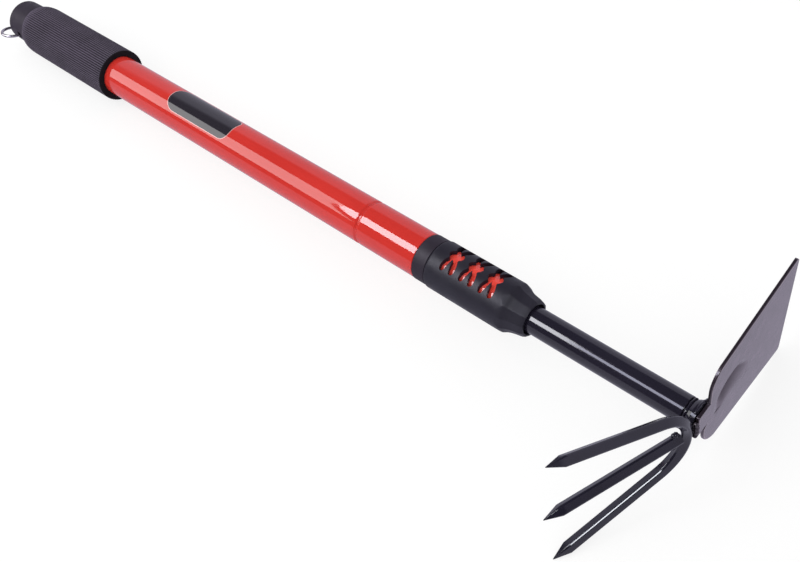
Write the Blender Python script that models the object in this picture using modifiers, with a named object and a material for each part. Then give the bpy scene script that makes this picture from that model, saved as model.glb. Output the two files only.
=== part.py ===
"""Telescopic fork hoe: a twist-lock pole with a three-pronged fork and a hoe blade on its head.

The shaft lies along +X from the end cap to the head. The blade points to +Y, the prongs point to
-Y, and +Z is across the head. The origin is the centre of the end cap's flat face. The pole is
modelled closed. Lengths are in metres and angles in degrees.
"""

import math

import bmesh
import bpy
from mathutils import Matrix, Vector

# Fits
SEAT_GAP = 0.0003
SLIDE_GAP = 0.00035
COLLET_GAP = 0.00015
TURN_STEPS = 48

# Outer tube
OUTER_DIAMETER = 0.0286
OUTER_WALL = 0.0012
OUTER_LENGTH = 0.4082
GROOVE_SETBACK = 0.0458
GROOVE_WIDTH = 0.0036
GROOVE_DEPTH = 0.0010

# End cap
CAP_DIAMETER = 0.0302
CAP_SHOULDER_DIAMETER = 0.0312
CAP_HEAD_LENGTH = 0.0205
CAP_WALL = 0.0020
CAP_RIM_ROUND = 0.0012
CAP_POCKET_DEPTH = 0.0155
CAP_POCKET_EDGE = 0.0062
CAP_SPIGOT_LENGTH = 0.0200
CAP_SPIGOT_WALL = 0.0022

# Hanging ring
RING_RADIUS = 0.0079
RING_WIRE = 0.0022
RING_OVERHANG = 0.0024
RING_STANDOFF = 0.0025
RING_TILT = 16.0
RING_SLOT_LENGTH = 0.0042
RING_SLOT_WIDTH = 0.0050

# Foam grip
GRIP_DIAMETER = 0.0377
GRIP_LENGTH = 0.1067
GRIP_DOME_LENGTH = 0.0105
GRIP_DOME_LIP = 0.0003
GRIP_EDGE_ROUND = 0.0006
GRIP_RIB_COUNT = 72
GRIP_RIB_HEIGHT = 0.0004

# Ferrule, collet body and friction ring
FERRULE_DIAMETER = 0.0290
FERRULE_LENGTH = 0.0091
CORE_SPIGOT_LENGTH = 0.0559
CORE_THREAD_DIAMETER = 0.0216
CORE_REACH = 0.0580
O_RING_SETBACK = 0.0046
O_RING_THICKNESS = 0.0012

# Collet
COLLET_LENGTH = 0.0118
COLLET_BAND = 0.0026
COLLET_SLIT = 0.0012
COLLET_SLIT_COUNT = 6

# Lock nut
NUT_DIAMETER = 0.0300
NUT_CHAMFER = 0.0012
NUT_BARREL_LENGTH = 0.0516
NUT_NOSE_LENGTH = 0.0167
NUT_NOSE_FLATS = 12
NUT_TURN = -6.5
NUT_NOSE_TIP_DIAMETER = 0.0210
NUT_BORE_GAP = 0.00065
NUT_CONE_LENGTH = 0.0120
NUT_CONE_TIP_DIAMETER = 0.0186
NUT_MOUTH_DIAMETER = 0.0188
NUT_MOUTH_DEPTH = 0.0020
NUT_MOUTH_TAPER = 0.0015
WINDOW_COUNT = 3
WINDOW_PITCH = 0.01395
WINDOW_START = 0.01375
WINDOW_DEPTH = 0.0100

# Inner tube, guide bush and plug
INNER_DIAMETER = 0.0159
INNER_WALL = 0.0012
INNER_LENGTH = 0.5595
BUSH_LENGTH = 0.0247
BEAD_WIDTH = 0.0040
BEAD_HEIGHT = 0.0013
PLUG_FLANGE_DIAMETER = 0.0208
PLUG_FLANGE = 0.0024
PLUG_SPIGOT_LENGTH = 0.0148
PLUG_BORE = 0.0070

# Neck stub and weld beads
NECK_LENGTH_INSIDE = 0.0280
NECK_REACH = 0.0069
NECK_ROOT_DIAMETER = 0.0136
NECK_HEAD_DIAMETER = 0.0172
NECK_FLARE = 0.0036
TUBE_BEAD = 0.00055
BLADE_BEAD = 0.00075
FORK_BEAD = 0.0012
BOW_BEAD = 0.0010
BOW_BEAD_FAR = 0.0070
BOW_BEAD_NEAR = 0.0090
BOW_BEAD_FORWARD = 0.0008

# Hoe blade: the far side is +Z, the near side is -Z
BLADE_LEAN = 2.7
BLADE_THICKNESS = 0.0017
BLADE_FAR_REACH = 0.0876
BLADE_NEAR_REACH = 0.0842
BLADE_FAR_HALF_WIDTH = 0.0376
BLADE_NEAR_HALF_WIDTH = 0.0369
BLADE_EDGE_CORNER = 0.0030
EAR_FAR_START = 0.0046
EAR_NEAR_START = 0.0010
EAR_FAR_HALF_WIDTH = 0.0283
EAR_NEAR_HALF_WIDTH = 0.0305
EAR_FAR_CORNER = 0.0110
EAR_NEAR_CORNER = 0.0165
TAB_START = -0.0044
TAB_WIDTH = 0.0160
TAB_CORNER = 0.0010
SLIT_DEPTH = 0.0021
SLIT_MOUTH = 0.0022
SLIT_ROOT = 0.0006
RIB_START = 0.0115
RIB_WIDEST = 0.0210
RIB_END = 0.0415
RIB_WIDTH = 0.0275
RIB_DEPTH = 0.0030

# Fork
FORK_SETBACK = 0.0076
FORK_LEAN = 18.1
BAR_WIDTH = 0.0053
BAR_EDGE_ROUND = 0.0005
BOW_SETBACK = 0.0026
BOW_RADIUS = 0.0246
PRONG_SPLAY = 19.7
OUTER_PRONG_REACH = 0.0829
MIDDLE_PRONG_REACH = 0.0864
POINT_LENGTH = 0.0095
POINT_BLUNT = 0.08

# Places that follow from the sizes above
OUTER_RADIUS = OUTER_DIAMETER / 2
OUTER_BORE = OUTER_RADIUS - OUTER_WALL
INNER_RADIUS = INNER_DIAMETER / 2
OUTER_START = CAP_HEAD_LENGTH + SEAT_GAP
OUTER_END = OUTER_START + OUTER_LENGTH
GROOVE_X = OUTER_END - GROOVE_SETBACK
FERRULE_START = OUTER_END + SEAT_GAP
FERRULE_END = FERRULE_START + FERRULE_LENGTH
NUT_START = FERRULE_END + SEAT_GAP
NUT_SHOULDER = NUT_START + NUT_BARREL_LENGTH
NUT_END = NUT_SHOULDER + NUT_NOSE_LENGTH
CORE_RADIUS = CORE_THREAD_DIAMETER / 2
CORE_END = OUTER_END + CORE_REACH
COLLET_START = CORE_END + SEAT_GAP
COLLET_END = COLLET_START + COLLET_LENGTH
CONE_START = COLLET_START + SEAT_GAP
PLUG_START = CAP_HEAD_LENGTH + CAP_SPIGOT_LENGTH + SEAT_GAP
INNER_START = PLUG_START + PLUG_FLANGE + SEAT_GAP
INNER_END = INNER_START + INNER_LENGTH
BUSH_START = INNER_START + SEAT_GAP
BUSH_END = BUSH_START + BUSH_LENGTH
NECK_END = INNER_END + NECK_REACH
NECK_RADIUS = NECK_HEAD_DIAMETER / 2
BLADE_SLOPE = math.tan(math.radians(BLADE_LEAN))
BLADE_FACE = NECK_END + SEAT_GAP + NECK_RADIUS * BLADE_SLOPE + BLADE_THICKNESS


def clear_scene():
    for item in list(bpy.data.objects):
        bpy.data.objects.remove(item, do_unlink=True)


def new_collection(name):
    made = bpy.data.collections.new(name)
    bpy.context.scene.collection.children.link(made)
    return made


def new_material(name, colour, roughness, metallic=0.0):
    made = bpy.data.materials.new(name)
    made.use_nodes = True
    shader = made.node_tree.nodes["Principled BSDF"]
    shader.inputs["Base Color"].default_value = (*colour, 1.0)
    shader.inputs["Roughness"].default_value = roughness
    shader.inputs["Metallic"].default_value = metallic
    return made


def place(name, data, material, matrix=Matrix.Identity(4)):
    """Link an object into the model, with its material."""
    item = bpy.data.objects.new(name, data)
    item.matrix_world = matrix
    PARTS.objects.link(item)
    data.materials.clear()
    data.materials.append(material)
    return item


def cut(item, cutter, operation="DIFFERENCE"):
    """Cut an object by another, which stays as a hidden guide."""
    cutter.hide_render = True
    cutter.display_type = "WIRE"
    step = item.modifiers.new(cutter.name, "BOOLEAN")
    step.operation = operation
    step.solver = "EXACT"
    step.object = cutter
    return item


def guide(name, data, matrix=Matrix.Identity(4)):
    item = bpy.data.objects.new(name, data)
    item.matrix_world = matrix
    CUTTERS.objects.link(item)
    return item


def smooth(item, angle=35.0):
    item.data.shade_smooth()
    item.data.set_sharp_from_angle(angle=math.radians(angle))
    return item


# Local +Z of a turned piece is the shaft's +X
ALONG_SHAFT = Matrix.Rotation(math.radians(90), 4, "Y")


def turned_data(name, outline):
    """A closed outline of (distance along the shaft, radius), as edges that run down its outer side."""
    area = sum(
        a[0] * b[1] - b[0] * a[1] for a, b in zip(outline, outline[1:] + outline[:1])
    )
    loop = outline if area < 0 else outline[::-1]
    made = bpy.data.meshes.new(name)
    points = [(radius, 0.0, along) for along, radius in reversed(loop)]
    count = len(points)
    made.from_pydata(points, [(i, (i + 1) % count) for i in range(count)], [])
    return made


def add_screw(item, steps):
    screw = item.modifiers.new("turn", "SCREW")
    screw.axis = "Z"
    screw.angle = math.radians(360)
    screw.steps = steps
    screw.render_steps = steps
    screw.use_merge_vertices = True
    screw.merge_threshold = 0.00001
    screw.use_smooth_shade = False
    return item


def turned(name, outline, material, steps=TURN_STEPS):
    return add_screw(place(name, turned_data(name, outline), material, ALONG_SHAFT), steps)


def box_guide(name, size, centre, turn=0.0, axis="X"):
    data = bpy.data.meshes.new(name)
    shape = bmesh.new()
    bmesh.ops.create_cube(shape, size=1.0)
    bmesh.ops.scale(shape, vec=size, verts=shape.verts)
    bmesh.ops.translate(shape, vec=centre, verts=shape.verts)
    shape.to_mesh(data)
    shape.free()
    return guide(name, data, Matrix.Rotation(math.radians(turn), 4, axis))


def arc(centre_x, centre_y, radius, start, end, count):
    """Points along an arc, from one angle to another in degrees."""
    angles = [math.radians(start + (end - start) * i / count) for i in range(count + 1)]
    return [(centre_x + radius * math.cos(a), centre_y + radius * math.sin(a)) for a in angles]


def plate_data(name, outline, thickness):
    """A flat plate in local XY, half its thickness to each side, from a filled outline."""
    curve = bpy.data.curves.new(name, "CURVE")
    curve.dimensions = "2D"
    curve.fill_mode = "BOTH"
    curve.extrude = thickness / 2
    spline = curve.splines.new("POLY")
    spline.points.add(len(outline) - 1)
    for point, (x, y) in zip(spline.points, outline):
        point.co = (x, y, 0.0, 1.0)
    spline.use_cyclic_u = True
    return mesh_of_curve(name, curve)


def mesh_of_curve(name, curve):
    """The closed mesh of a curve, with its caps welded on."""
    holder = bpy.data.objects.new(name + "_curve", curve)
    bpy.context.scene.collection.objects.link(holder)
    bpy.context.view_layer.update()
    drawn = holder.evaluated_get(bpy.context.evaluated_depsgraph_get())
    data = bpy.data.meshes.new_from_object(drawn)
    data.name = name
    bpy.data.objects.remove(holder, do_unlink=True)
    bpy.data.curves.remove(curve)
    shape = bmesh.new()
    shape.from_mesh(data)
    bmesh.ops.remove_doubles(shape, verts=shape.verts, dist=0.000001)
    bmesh.ops.recalc_face_normals(shape, faces=shape.faces)
    shape.to_mesh(data)
    shape.free()
    return data


def wire_data(name, points, thicknesses, closed=False, sides=3):
    """A round wire through points, with its own radius at each of them."""
    curve = bpy.data.curves.new(name, "CURVE")
    curve.dimensions = "3D"
    curve.bevel_depth = 1.0
    curve.bevel_resolution = sides
    curve.use_fill_caps = not closed
    spline = curve.splines.new("POLY")
    spline.points.add(len(points) - 1)
    for point, place_at, radius in zip(spline.points, points, thicknesses):
        point.co = (*place_at, 1.0)
        point.radius = radius
    spline.use_cyclic_u = closed
    return mesh_of_curve(name, curve)


def groove_shape(x):
    """How deep the rolled groove is at a distance along the shaft: one wave of a cosine."""
    away = abs(x - GROOVE_X) / (GROOVE_WIDTH / 2)
    return 0.0 if away >= 1 else GROOVE_DEPTH * (1 + math.cos(math.pi * away)) / 2


def groove_stations(count=8):
    return [GROOVE_X + GROOVE_WIDTH * (i / count - 0.5) for i in range(count + 1)]


def make_outer_tube(red_paint):
    outer = [(OUTER_START, OUTER_RADIUS)]
    outer += [(x, OUTER_RADIUS - groove_shape(x)) for x in groove_stations()]
    outer += [(OUTER_END, OUTER_RADIUS)]
    inner = [(x, radius - OUTER_WALL) for x, radius in reversed(outer)]
    return smooth(turned("outer_tube", outer + inner, red_paint))


def make_end_cap(black_plastic):
    """A head with a pocket behind its ring slot, and a hollow spigot inside the tube."""
    head = CAP_DIAMETER / 2
    spigot = OUTER_BORE - SEAT_GAP
    spigot_end = CAP_HEAD_LENGTH + CAP_SPIGOT_LENGTH
    bore = spigot - CAP_SPIGOT_WALL
    floor = CAP_HEAD_LENGTH + CAP_SPIGOT_WALL
    rim = [(x, r) for r, x in arc(head - CAP_RIM_ROUND, CAP_RIM_ROUND, CAP_RIM_ROUND, -90, 0, 4)]
    outline = [(0.0, 0.0)] + rim
    shoulder = CAP_SHOULDER_DIAMETER / 2
    outline += [(CAP_HEAD_LENGTH, shoulder), (CAP_HEAD_LENGTH, spigot), (spigot_end, spigot)]
    outline += [(spigot_end, bore), (floor, bore), (floor, 0.0)]
    data = open_turned_data("end_cap", outline)
    cap = add_screw(place("end_cap", data, black_plastic, ALONG_SHAFT), TURN_STEPS)
    pocket_radius = head - CAP_WALL
    chord = math.degrees(math.acos(CAP_POCKET_EDGE / pocket_radius))
    outline = arc(0.0, 0.0, pocket_radius, 180 - chord, 180 + chord, 18)
    pocket = guide("cap_pocket", plate_data("cap_pocket", outline, 2 * CAP_POCKET_DEPTH), ACROSS_SHAFT)
    cut(cap, pocket)
    slot_size = (RING_SLOT_LENGTH, 3 * CAP_WALL, RING_SLOT_WIDTH)
    slot = box_guide("ring_slot", slot_size, (ring_slot_x(), -(head - CAP_WALL / 2), 0.0))
    cut(cap, slot)
    return smooth(cap)


# Local XY of a plate is the YZ plane of the model
ACROSS_SHAFT = Matrix(((0, 0, 1, 0), (1, 0, 0, 0), (0, 1, 0, 0), (0, 0, 0, 1)))


def open_turned_data(name, outline):
    """An outline of (distance, radius) that starts and ends on the axis, from low end to high end."""
    made = bpy.data.meshes.new(name)
    points = [(radius, 0.0, along) for along, radius in reversed(outline)]
    made.from_pydata(points, [(i, i + 1) for i in range(len(points) - 1)], [])
    return made


def ring_centre():
    """The ring hangs round the cap's wall: past its end on one side, through its slot on the other."""
    wall = CAP_DIAMETER / 2 - CAP_WALL / 2
    half_chord = math.sqrt(RING_RADIUS**2 - RING_STANDOFF**2)
    return half_chord - RING_OVERHANG, wall + RING_STANDOFF


def ring_slot_x():
    wall_chord = math.sqrt(RING_RADIUS**2 - RING_STANDOFF**2)
    return ring_centre()[0] + wall_chord


def make_hang_ring(bright_steel):
    centre_x, centre_y = ring_centre()
    wall = CAP_DIAMETER / 2 - CAP_WALL / 2
    hinge = bpy.data.objects.new("ring_hinge", None)
    hinge.location = (centre_x, -wall, 0.0)
    hinge.rotation_euler = (math.radians(-RING_TILT), 0.0, 0.0)
    PARTS.objects.link(hinge)
    points = [(x, y - (centre_y - wall), 0.0) for x, y in arc(0.0, 0.0, RING_RADIUS, 0, 350, 35)]
    data = wire_data("hang_ring", points, [RING_WIRE / 2] * len(points), closed=True, sides=2)
    ring = place("hang_ring", data, bright_steel)
    ring.parent = hinge
    return smooth(ring, 60)


def grip_radius(along):
    """The grip's outer radius at a distance from its rear edge: a quarter ellipse, then straight."""
    lip = CAP_SHOULDER_DIAMETER / 2 + GRIP_DOME_LIP
    full = GRIP_DIAMETER / 2
    if along >= GRIP_DOME_LENGTH:
        return full
    share = 1 - along / GRIP_DOME_LENGTH
    return lip + (full - lip) * math.sqrt(1 - share**2)


def make_foam_grip(black_foam):
    """A ribbed sleeve, lofted between sections whose every other point sinks between two ribs."""
    start = OUTER_START
    bore = OUTER_RADIUS + SEAT_GAP
    dome = [GRIP_DOME_LENGTH * (1 - math.cos(math.radians(15 * i))) for i in range(7)]
    stations = [(start + x, grip_radius(x), x / GRIP_DOME_LENGTH) for x in dome]
    end = start + GRIP_LENGTH
    stations += [(end - GRIP_EDGE_ROUND, GRIP_DIAMETER / 2, 1.0)]
    stations += [(end, GRIP_DIAMETER / 2 - GRIP_EDGE_ROUND, 0.0)]
    count = 2 * GRIP_RIB_COUNT
    shape = bmesh.new()
    rings = []
    for x, radius, rib in stations:
        ring = []
        for i in range(count):
            r = radius - (i % 2) * GRIP_RIB_HEIGHT * rib
            a = 2 * math.pi * i / count
            ring.append(shape.verts.new((x, r * math.cos(a), r * math.sin(a))))
        rings.append(ring)
    for x in (end, start):
        angles = [2 * math.pi * i / count for i in range(count)]
        rings.append([shape.verts.new((x, bore * math.cos(a), bore * math.sin(a))) for a in angles])
    for lower, upper in zip(rings, rings[1:] + rings[:1]):
        for i in range(count):
            j = (i + 1) % count
            shape.faces.new((lower[i], lower[j], upper[j], upper[i]))
    bmesh.ops.recalc_face_normals(shape, faces=shape.faces)
    data = bpy.data.meshes.new("foam_grip")
    shape.to_mesh(data)
    shape.free()
    return smooth(place("foam_grip", data, black_foam), 50)


def make_ferrule(black_plastic):
    outer = FERRULE_DIAMETER / 2
    bore = CORE_RADIUS + SEAT_GAP
    edge = SEAT_GAP
    outline = [(FERRULE_START, bore), (FERRULE_START, outer - edge), (FERRULE_START + edge, outer)]
    outline += [(FERRULE_END - edge, outer), (FERRULE_END, outer - edge), (FERRULE_END, bore)]
    return smooth(turned("ferrule_ring", outline, black_plastic))


def make_collet_body(red_plastic):
    """A spigot held in the tube by the rolled groove, and the threaded core under the nut."""
    start = OUTER_END - CORE_SPIGOT_LENGTH
    spigot = OUTER_BORE - SEAT_GAP
    bore = INNER_RADIUS + SLIDE_GAP
    step = OUTER_END - SEAT_GAP
    outline = [(start, bore), (start, spigot)]
    outline += [(x, spigot - groove_shape(x)) for x in groove_stations()]
    outline += [(step, spigot), (step, CORE_RADIUS)]
    seat = NUT_START + O_RING_SETBACK
    half = O_RING_THICKNESS / 2 + SEAT_GAP
    bottom = CORE_RADIUS - O_RING_THICKNESS - SEAT_GAP
    outline += [(seat - half, CORE_RADIUS), (seat - half, bottom)]
    outline += [(seat + half, bottom), (seat + half, CORE_RADIUS)]
    outline += [(CORE_END, CORE_RADIUS), (CORE_END, bore)]
    return smooth(turned("collet_body", outline, red_plastic))


def make_o_ring(black_rubber):
    seat = NUT_START + O_RING_SETBACK
    half = O_RING_THICKNESS / 2
    middle = CORE_RADIUS - half
    outline = arc(seat, middle, half, 0, 315, 7)
    return smooth(turned("nut_o_ring", outline, black_rubber), 60)


def cone_radius(x):
    """The nut's inner cone, which squeezes the collet."""
    wide = CORE_RADIUS + SEAT_GAP
    narrow = NUT_CONE_TIP_DIAMETER / 2
    return wide + (narrow - wide) * (x - CONE_START) / NUT_CONE_LENGTH


def make_collet(white_plastic):
    bore = INNER_RADIUS + COLLET_GAP
    rear = CORE_RADIUS - SEAT_GAP
    band = COLLET_START + 2 * SEAT_GAP
    outline = [(COLLET_START, bore), (COLLET_START, rear), (band, cone_radius(band) - SEAT_GAP)]
    outline += [(COLLET_END, cone_radius(COLLET_END) - SEAT_GAP), (COLLET_END, bore)]
    collet = turned("collet", outline, white_plastic)
    length = COLLET_LENGTH
    middle = COLLET_START + COLLET_BAND + length / 2
    for i in range(COLLET_SLIT_COUNT):
        name = f"collet_slit_{i + 1}"
        size = (length, COLLET_SLIT, CORE_THREAD_DIAMETER)
        turn = (i + 0.5) * 360 / COLLET_SLIT_COUNT
        cut(collet, box_guide(name, size, (middle, 0.0, CORE_RADIUS), turn))
    return smooth(collet)


def nose_profile():
    """Half the distance across the nose's flats: a rounded shoulder that runs into a hollow taper.
    Each pair is a share of the nose's length and a share of its drop."""
    tip = NUT_NOSE_TIP_DIAMETER / 2
    drop = NUT_DIAMETER / 2 - tip
    shares = [(-0.03, 1.03), (0.21, 0.90), (0.27, 0.78), (0.36, 0.60), (0.49, 0.42), (0.67, 0.27)]
    shares += [(0.87, 0.15), (0.92, 0.11), (0.96, 0.04), (1.0, -0.11)]
    return [(NUT_SHOULDER + NUT_NOSE_LENGTH * x, tip + drop * y) for x, y in shares]


def window_outline():
    """An X with four bowed arms and two short side points, symmetric both ways, in shaft and cross
    directions. Only the quarter between the shaft and one arm is drawn."""
    quarter = [(0.0049, 0.0), (0.0043, 0.0015), (0.0031, 0.0030), (0.0040, 0.0048), (0.0047, 0.0066)]
    quarter += [(0.0050, 0.0084), (0.0049, 0.0099), (0.0043, 0.0107), (0.0032, 0.0110)]
    quarter += [(0.0021, 0.0106), (0.0014, 0.0092), (0.0010, 0.0072), (0.0006, 0.0055), (0.0, 0.0034)]
    top_left = [(-x, y) for x, y in reversed(quarter[:-1])]
    bottom_left = [(-x, -y) for x, y in quarter[1:]]
    bottom_right = [(x, -y) for x, y in reversed(quarter[1:-1])]
    return quarter + top_left + bottom_left + bottom_right


def make_lock_nut(black_plastic):
    """A barrel with windows on two sides and a flat-sided nose, bored for the thread and collet."""
    outer = NUT_DIAMETER / 2
    bore = CORE_RADIUS + SEAT_GAP
    exit_bore = INNER_RADIUS + NUT_BORE_GAP
    cone_end = CONE_START + NUT_CONE_LENGTH
    outline = [(NUT_START, bore), (NUT_START, outer - NUT_CHAMFER / 2), (NUT_START + NUT_CHAMFER, outer)]
    mouth = NUT_MOUTH_DIAMETER / 2
    throat = NUT_END - NUT_MOUTH_DEPTH
    outline += [(NUT_END, outer), (NUT_END, mouth), (throat, mouth)]
    outline += [(throat - NUT_MOUTH_TAPER, exit_bore), (cone_end, exit_bore)]
    outline += [(cone_end, NUT_CONE_TIP_DIAMETER / 2), (CONE_START, bore)]
    nut = turned("lock_nut", outline, black_plastic)
    corner = 1 / math.cos(math.pi / NUT_NOSE_FLATS)
    nose = nose_profile()
    around = (outer + NUT_CHAMFER) * corner
    behind = NUT_START - outer
    ahead = NUT_END + NUT_CHAMFER
    envelope = [(behind, 0.0), (behind, around), (nose[0][0] - NUT_CHAMFER, around)]
    envelope += [(x, half * corner) for x, half in nose]
    envelope += [(ahead, nose[-1][1] * corner), (ahead, 0.0)]
    turn = Matrix.Rotation(math.radians(NUT_TURN), 4, "X")
    half_flat = Matrix.Rotation(math.pi / NUT_NOSE_FLATS, 4, "X")
    data = open_turned_data("nose_flats", envelope)
    flats = guide("nose_flats", data, turn @ half_flat @ ALONG_SHAFT)
    cut(nut, add_screw(flats, NUT_NOSE_FLATS), "INTERSECT")
    for i in range(WINDOW_COUNT):
        centre = NUT_START + WINDOW_START + i * WINDOW_PITCH
        for side, label in ((1, "top"), (-1, "bottom")):
            name = f"window_{label}_{i + 1}"
            matrix = turn @ Matrix.Translation((centre, 0.0, side * outer))
            cut(nut, guide(name, plate_data(name, window_outline(), 2 * WINDOW_DEPTH), matrix))
    return smooth(nut, 25)


def bead_shape(x, centre):
    away = abs(x - centre) / (BEAD_WIDTH / 2)
    return 0.0 if away >= 1 else BEAD_HEIGHT * (1 + math.cos(math.pi * away)) / 2


def make_inner_tube(black_paint):
    """The sliding tube, with a rolled bead in front of the guide bush."""
    centre = BUSH_END + SEAT_GAP + BEAD_WIDTH / 2
    stations = [centre + BEAD_WIDTH * (i / 8 - 0.5) for i in range(9)]
    outer = [(INNER_START, INNER_RADIUS)]
    outer += [(x, INNER_RADIUS + bead_shape(x, centre)) for x in stations]
    outer += [(INNER_END, INNER_RADIUS)]
    inner = [(x, radius - INNER_WALL) for x, radius in reversed(outer)]
    return smooth(turned("inner_tube", outer + inner, black_paint))


def make_guide_bush(black_plastic):
    outer = OUTER_BORE - SEAT_GAP
    bore = INNER_RADIUS + SEAT_GAP
    edge = 2 * SEAT_GAP
    outline = [(BUSH_START, bore), (BUSH_START, outer - edge), (BUSH_START + edge, outer)]
    outline += [(BUSH_END - edge, outer), (BUSH_END, outer - edge), (BUSH_END, bore)]
    return smooth(turned("rear_guide_bush", outline, black_plastic))


def make_inner_plug(black_plastic):
    """A flanged plug in the sliding tube's rear end, which keeps the bush on."""
    flange = PLUG_FLANGE_DIAMETER / 2
    spigot = INNER_RADIUS - INNER_WALL - SEAT_GAP
    shoulder = PLUG_START + PLUG_FLANGE
    end = shoulder + PLUG_SPIGOT_LENGTH
    bore = PLUG_BORE / 2
    outline = [(PLUG_START, bore), (PLUG_START, flange), (shoulder, flange), (shoulder, spigot)]
    outline += [(end - SEAT_GAP, spigot), (end, spigot - SEAT_GAP), (end, bore)]
    return smooth(turned("inner_end_plug", outline, black_plastic))


def fork_frame():
    """The fork's plane: local X runs down the middle prong, local Y across the fork."""
    lean = math.radians(FORK_LEAN)
    down = Vector((-math.sin(lean), -math.cos(lean), 0.0))
    across = Vector((0.0, 0.0, 1.0))
    normal = down.cross(across)
    root = Vector((INNER_END + FORK_SETBACK, -NECK_RADIUS - SEAT_GAP, 0.0))
    matrix = Matrix((down, across, normal)).transposed().to_4x4()
    matrix.translation = root
    return matrix


def bow_path(steps=7):
    """Centre line of the outer prongs' bar: a straight prong, the bend round the neck, and back."""
    turn = 90 - PRONG_SPLAY
    splay = math.radians(PRONG_SPLAY)
    bend = arc(BOW_SETBACK + BOW_RADIUS, 0.0, BOW_RADIUS, 180 - turn, 180, steps)
    start = bend[0]
    point = (OUTER_PRONG_REACH, start[1] + (OUTER_PRONG_REACH - start[0]) * math.tan(splay))
    shoulder = (point[0] - POINT_LENGTH * math.cos(splay), point[1] - POINT_LENGTH * math.sin(splay))
    half = [(point, POINT_BLUNT), (shoulder, 1.0)] + [(place_at, 1.0) for place_at in bend]
    other = [((x, -y), size) for (x, y), size in reversed(half[:-1])]
    return half + other


def square_section(width, edge_round):
    """A square bar's section, standing on one of its edges."""
    reach = width / 2 - edge_round
    points = []
    for turn in (0, 90, 180, 270):
        angle = math.radians(turn + 45)
        centre = (math.sqrt(2) * reach * math.cos(angle), math.sqrt(2) * reach * math.sin(angle))
        points += arc(*centre, edge_round, turn, turn + 90, 2)
    quarter = math.radians(45)
    return [
        (x * math.cos(quarter) - y * math.sin(quarter), x * math.sin(quarter) + y * math.cos(quarter))
        for x, y in points
    ]


def bar_data(name, path, width, edge_round):
    """A square bar along a path of ((x, y), size) in the local XY plane, shaped by a bevel outline."""
    section_curve = bpy.data.curves.new(name + "_section", "CURVE")
    section_curve.dimensions = "2D"
    outline = section_curve.splines.new("POLY")
    section = square_section(width, edge_round)
    outline.points.add(len(section) - 1)
    for point, (x, y) in zip(outline.points, section):
        point.co = (x, y, 0.0, 1.0)
    outline.use_cyclic_u = True
    section_item = guide(name + "_section", section_curve)
    section_item.hide_render = True
    curve = bpy.data.curves.new(name, "CURVE")
    curve.dimensions = "3D"
    curve.twist_mode = "Z_UP"
    curve.bevel_mode = "OBJECT"
    curve.bevel_object = section_item
    curve.use_fill_caps = True
    spline = curve.splines.new("POLY")
    spline.points.add(len(path) - 1)
    for point, ((x, y), size) in zip(spline.points, path):
        point.co = (x, y, 0.0, 1.0)
        point.radius = size
    data = mesh_of_curve(name, curve)
    bpy.data.objects.remove(section_item, do_unlink=True)
    return data


def make_outer_prongs(black_paint):
    data = bar_data("outer_prongs", bow_path(), BAR_WIDTH, BAR_EDGE_ROUND)
    return smooth(place("outer_prongs", data, black_paint, fork_frame()), 30)


def make_middle_prong(black_paint):
    root = BOW_SETBACK + BAR_WIDTH * math.sqrt(0.5) + SEAT_GAP
    path = [((root, 0.0), 1.0), ((MIDDLE_PRONG_REACH - POINT_LENGTH, 0.0), 1.0)]
    path += [((MIDDLE_PRONG_REACH, 0.0), POINT_BLUNT)]
    data = bar_data("middle_prong", path, BAR_WIDTH, BAR_EDGE_ROUND)
    return smooth(place("middle_prong", data, black_paint, fork_frame()), 30)


def make_fork_welds(black_paint):
    """A bead in each corner between the bow and the middle prong."""
    corner = BAR_WIDTH * math.sqrt(0.5)
    across = corner + FORK_BEAD + SEAT_GAP
    along = BOW_SETBACK + corner + FORK_BEAD + 2 * SEAT_GAP
    steps = [(0.0, 0.75), (0.7, 1.0), (1.5, 0.8), (2.3, 0.95), (3.2, 0.6)]
    for side, label in ((1, "upper"), (-1, "lower")):
        points = [(along + FORK_BEAD * shift, side * across, 0.0) for shift, _ in steps]
        sizes = [FORK_BEAD * size for _, size in steps]
        name = f"fork_weld_{label}"
        item = place(name, wire_data(name, points, sizes, sides=2), black_paint, fork_frame())
        smooth(item, 60)


def make_neck_stub(black_paint):
    """A stub in the tube's end whose flared head carries the blade, notched where the bow crosses."""
    rear = INNER_END - NECK_LENGTH_INSIDE
    inside = INNER_RADIUS - INNER_WALL - SEAT_GAP
    root = NECK_ROOT_DIAMETER / 2
    head = NECK_RADIUS
    step = INNER_END + SEAT_GAP
    outline = [(rear, 0.0), (rear, inside - SEAT_GAP), (rear + SEAT_GAP, inside)]
    outline += [(step, inside), (step, root)]
    for share in (0.25, 0.5, 0.75, 1.0):
        rise = math.sin(math.radians(90 * share)) ** 2
        outline += [(step + SEAT_GAP + NECK_FLARE * share, root + (head - root) * rise)]
    outline += [(NECK_END, head), (NECK_END, 0.0)]
    data = open_turned_data("neck_stub", outline)
    neck = add_screw(place("neck_stub", data, black_paint, ALONG_SHAFT), TURN_STEPS)
    seat = bar_data("bow_seat", bow_path(), BAR_WIDTH + 2 * SEAT_GAP, BAR_EDGE_ROUND)
    cut(neck, guide("bow_seat", seat, fork_frame()))
    return smooth(neck)


def make_tube_weld(black_paint):
    """A beaded ring of weld between the tube's end and the neck."""
    x = INNER_END + SEAT_GAP + 1.6 * TUBE_BEAD
    radius = NECK_ROOT_DIAMETER / 2 + SEAT_GAP + TUBE_BEAD
    circle = arc(0.0, 0.0, radius, 0, 350, 35)
    sizes = [TUBE_BEAD * (1.0 if i % 3 else 0.75) for i in range(len(circle))]
    points = [(x, y, z) for y, z in circle]
    data = wire_data("tube_weld", points, sizes, closed=True, sides=1)
    return smooth(place("tube_weld", data, black_paint), 60)


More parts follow.
